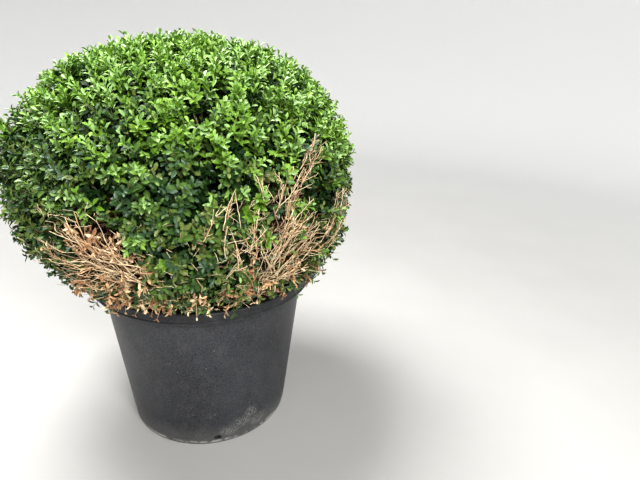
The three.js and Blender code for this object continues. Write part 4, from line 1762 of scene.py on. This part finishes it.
class BALL_OT_dead_twigs(bpy.types.Operator):
    """Grow the bare dead twigs of the two patches and the strand between them"""
    bl_idname = "ball.grow_dead_twigs"
    bl_label = "Dead twigs"

    def execute(self, context):
        materials = [
            twig_material("dead_straw", tint("straw")),
            twig_material("dead_tan", tint("tan")),
            twig_material("dead_pink", tint("pink")),
            # A darker copy of the withered brown, painted shade for the deep twigs of a patch
            twig_material("dead_shaded", shaded(tint("withered"), 1.3), gloss=0.05),
        ]
        seed = context.scene.ball_crown.seed
        for number, (patch, rule) in enumerate(PATCHES.items()):
            bundles, spread, radii, depths, shares, nodes = rule
            twigs = BareTwigs(seed + PATCH_SEED + number)
            for root, tip, count in bundles:
                twigs.bundle(root, tip, count, spread, radii, depths)
            self.add_patch(patch, twigs, materials, shares, nodes)
        twigs = BareTwigs(seed + SCATTERED_SEED)
        places = self.scattered(context.scene.ball_crown.bare_twigs, twigs.rng)
        twigs.scatter(places, SCATTERED_DEPTHS)
        self.add_patch("scattered", twigs, materials, SCATTERED_TINTS, [])
        return {"FINISHED"}

    def add_patch(self, patch, twigs, materials, shares, nodes):
        for order, name in enumerate(ORDER_NAMES):
            if not twigs.orders[order]:
                continue
            paths, radii, out, tints = twigs.laid(order, shares)
            full, sides = f"bare_{name}_{patch}", ORDER_SIDES[order]
            add_bent(full, paths, radii, sides, out, tints, materials, nodes)

    def scattered(self, count, rng):
        """Places for single bare twigs, low on the crown and mostly on its front."""
        toward = spread_directions(count, SCATTERED_JITTER, rng)
        front = ramp(-toward[:, 1], *SCATTERED_FRONT)
        front = SCATTERED_BEHIND + (1 - SCATTERED_BEHIND) * front
        low = 1 - ramp(elevation_of(toward), *SCATTERED_ELEVATIONS)
        outer = skin().meet(toward)[3]
        return toward[outer & (rng.random(count) < front * low)]


CAMERA_PLACE = (0.0, -1.0479, 0.82165)
CAMERA_HEADING = 14.526
CAMERA_DOWN = 21.015
CAMERA_ROLL = 2.240
CAMERA_LENS = 26.99
SENSOR_WIDTH = 36

LIGHT_SIZE = 1.3
LIGHT_AIM = (0, 0, 0.5)
OVERHEAD_PLACE = (-0.6, 0.4, 2.9)
FRONT_PLACE = (0.5, -2.7, 2.4)

FLOOR_RING = 1.5
FLOOR_RADIUS = 5.0
FLOOR_BEND = 2.0
FLOOR_BEND_STEPS = 16
FLOOR_RISE = 5.0
FLOOR_SPIN = 96


def floor_section():
    """A flat floor that bends up into a plain wall all round."""
    bend_centre = (FLOOR_RADIUS - FLOOR_BEND, FLOOR_BEND)
    bent = arc(bend_centre, FLOOR_BEND, -90, 0, FLOOR_BEND_STEPS)
    return [(0, 0), (FLOOR_RING, 0), *bent, (FLOOR_RADIUS, FLOOR_RISE)]


class BALL_OT_stage(bpy.types.Operator):
    """Set the pale floor, the soft lights and the camera"""
    bl_idname = "ball.make_stage"
    bl_label = "Stage"

    def execute(self, context):
        stage = context.scene.ball_stage
        floor = linked("floor", mesh_of("floor", spun(floor_section(), FLOOR_SPIN)))
        floor.data.materials.append(floor_material("floor", tuple(stage.floor), tuple(stage.wall)))
        world = bpy.data.worlds.new("soft light")
        world.use_nodes = True
        background = world.node_tree.nodes["Background"]
        background.inputs["Color"].default_value = (*stage.sky, 1)
        background.inputs["Strength"].default_value = stage.sky_strength
        context.scene.world = world
        context.scene.view_settings.view_transform = "Standard"
        context.scene.view_settings.look = "Medium High Contrast"
        self.add_light("overhead_light", OVERHEAD_PLACE, stage.overhead)
        self.add_light("front_light", FRONT_PLACE, stage.front)
        self.add_camera(context)
        return {"FINISHED"}

    def add_light(self, name, place, power):
        light = bpy.data.lights.new(name, "AREA")
        light.size = LIGHT_SIZE
        light.energy = power
        lamp = linked(name, light)
        lamp.location = place
        aim = Vector(LIGHT_AIM) - Vector(place)
        lamp.rotation_euler = aim.to_track_quat("-Z", "Y").to_euler()

    def add_camera(self, context):
        data = bpy.data.cameras.new("camera")
        data.sensor_fit = "HORIZONTAL"
        data.sensor_width = SENSOR_WIDTH
        data.lens = CAMERA_LENS
        camera = linked("camera", data)
        camera.matrix_world = (
            Matrix.Translation(CAMERA_PLACE)
            @ Matrix.Rotation(math.radians(-CAMERA_HEADING), 4, "Z")
            @ Matrix.Rotation(math.radians(90 - CAMERA_DOWN), 4, "X")
            @ Matrix.Rotation(math.radians(CAMERA_ROLL), 4, "Z")
        )
        context.scene.camera = camera


OPERATORS = (
    BALL_OT_pot,
    BALL_OT_handles,
    BALL_OT_soil,
    BALL_OT_stem,
    BALL_OT_branches,
    BALL_OT_leaves,
    BALL_OT_dry_leaves,
    BALL_OT_dead_twigs,
    BALL_OT_stage,
)


class BALL_PT_panel(bpy.types.Panel):
    """The pieces of the potted box ball"""
    bl_idname = "BALL_PT_panel"
    bl_label = "Box ball"
    bl_space_type = "VIEW_3D"
    bl_region_type = "UI"
    bl_category = "Box ball"

    def draw(self, context):
        layout = self.layout
        for name, group in SETTINGS.items():
            box = layout.box()
            for field in group.__annotations__:
                box.prop(getattr(context.scene, name), field)
        for operator in OPERATORS:
            layout.operator(operator.bl_idname)


CLASSES = (*SETTINGS.values(), *OPERATORS, BALL_PT_panel)


def register():
    for each in CLASSES:
        bpy.utils.register_class(each)
    for name, group in SETTINGS.items():
        setattr(bpy.types.Scene, name, bpy.props.PointerProperty(type=group))


def unregister():
    for name in SETTINGS:
        delattr(bpy.types.Scene, name)
    for each in reversed(CLASSES):
        bpy.utils.unregister_class(each)


def main():
    register()
    for operator in OPERATORS:
        family, name = operator.bl_idname.split(".")
        getattr(getattr(bpy.ops, family), name)()


if __name__ == "__main__":
    main()
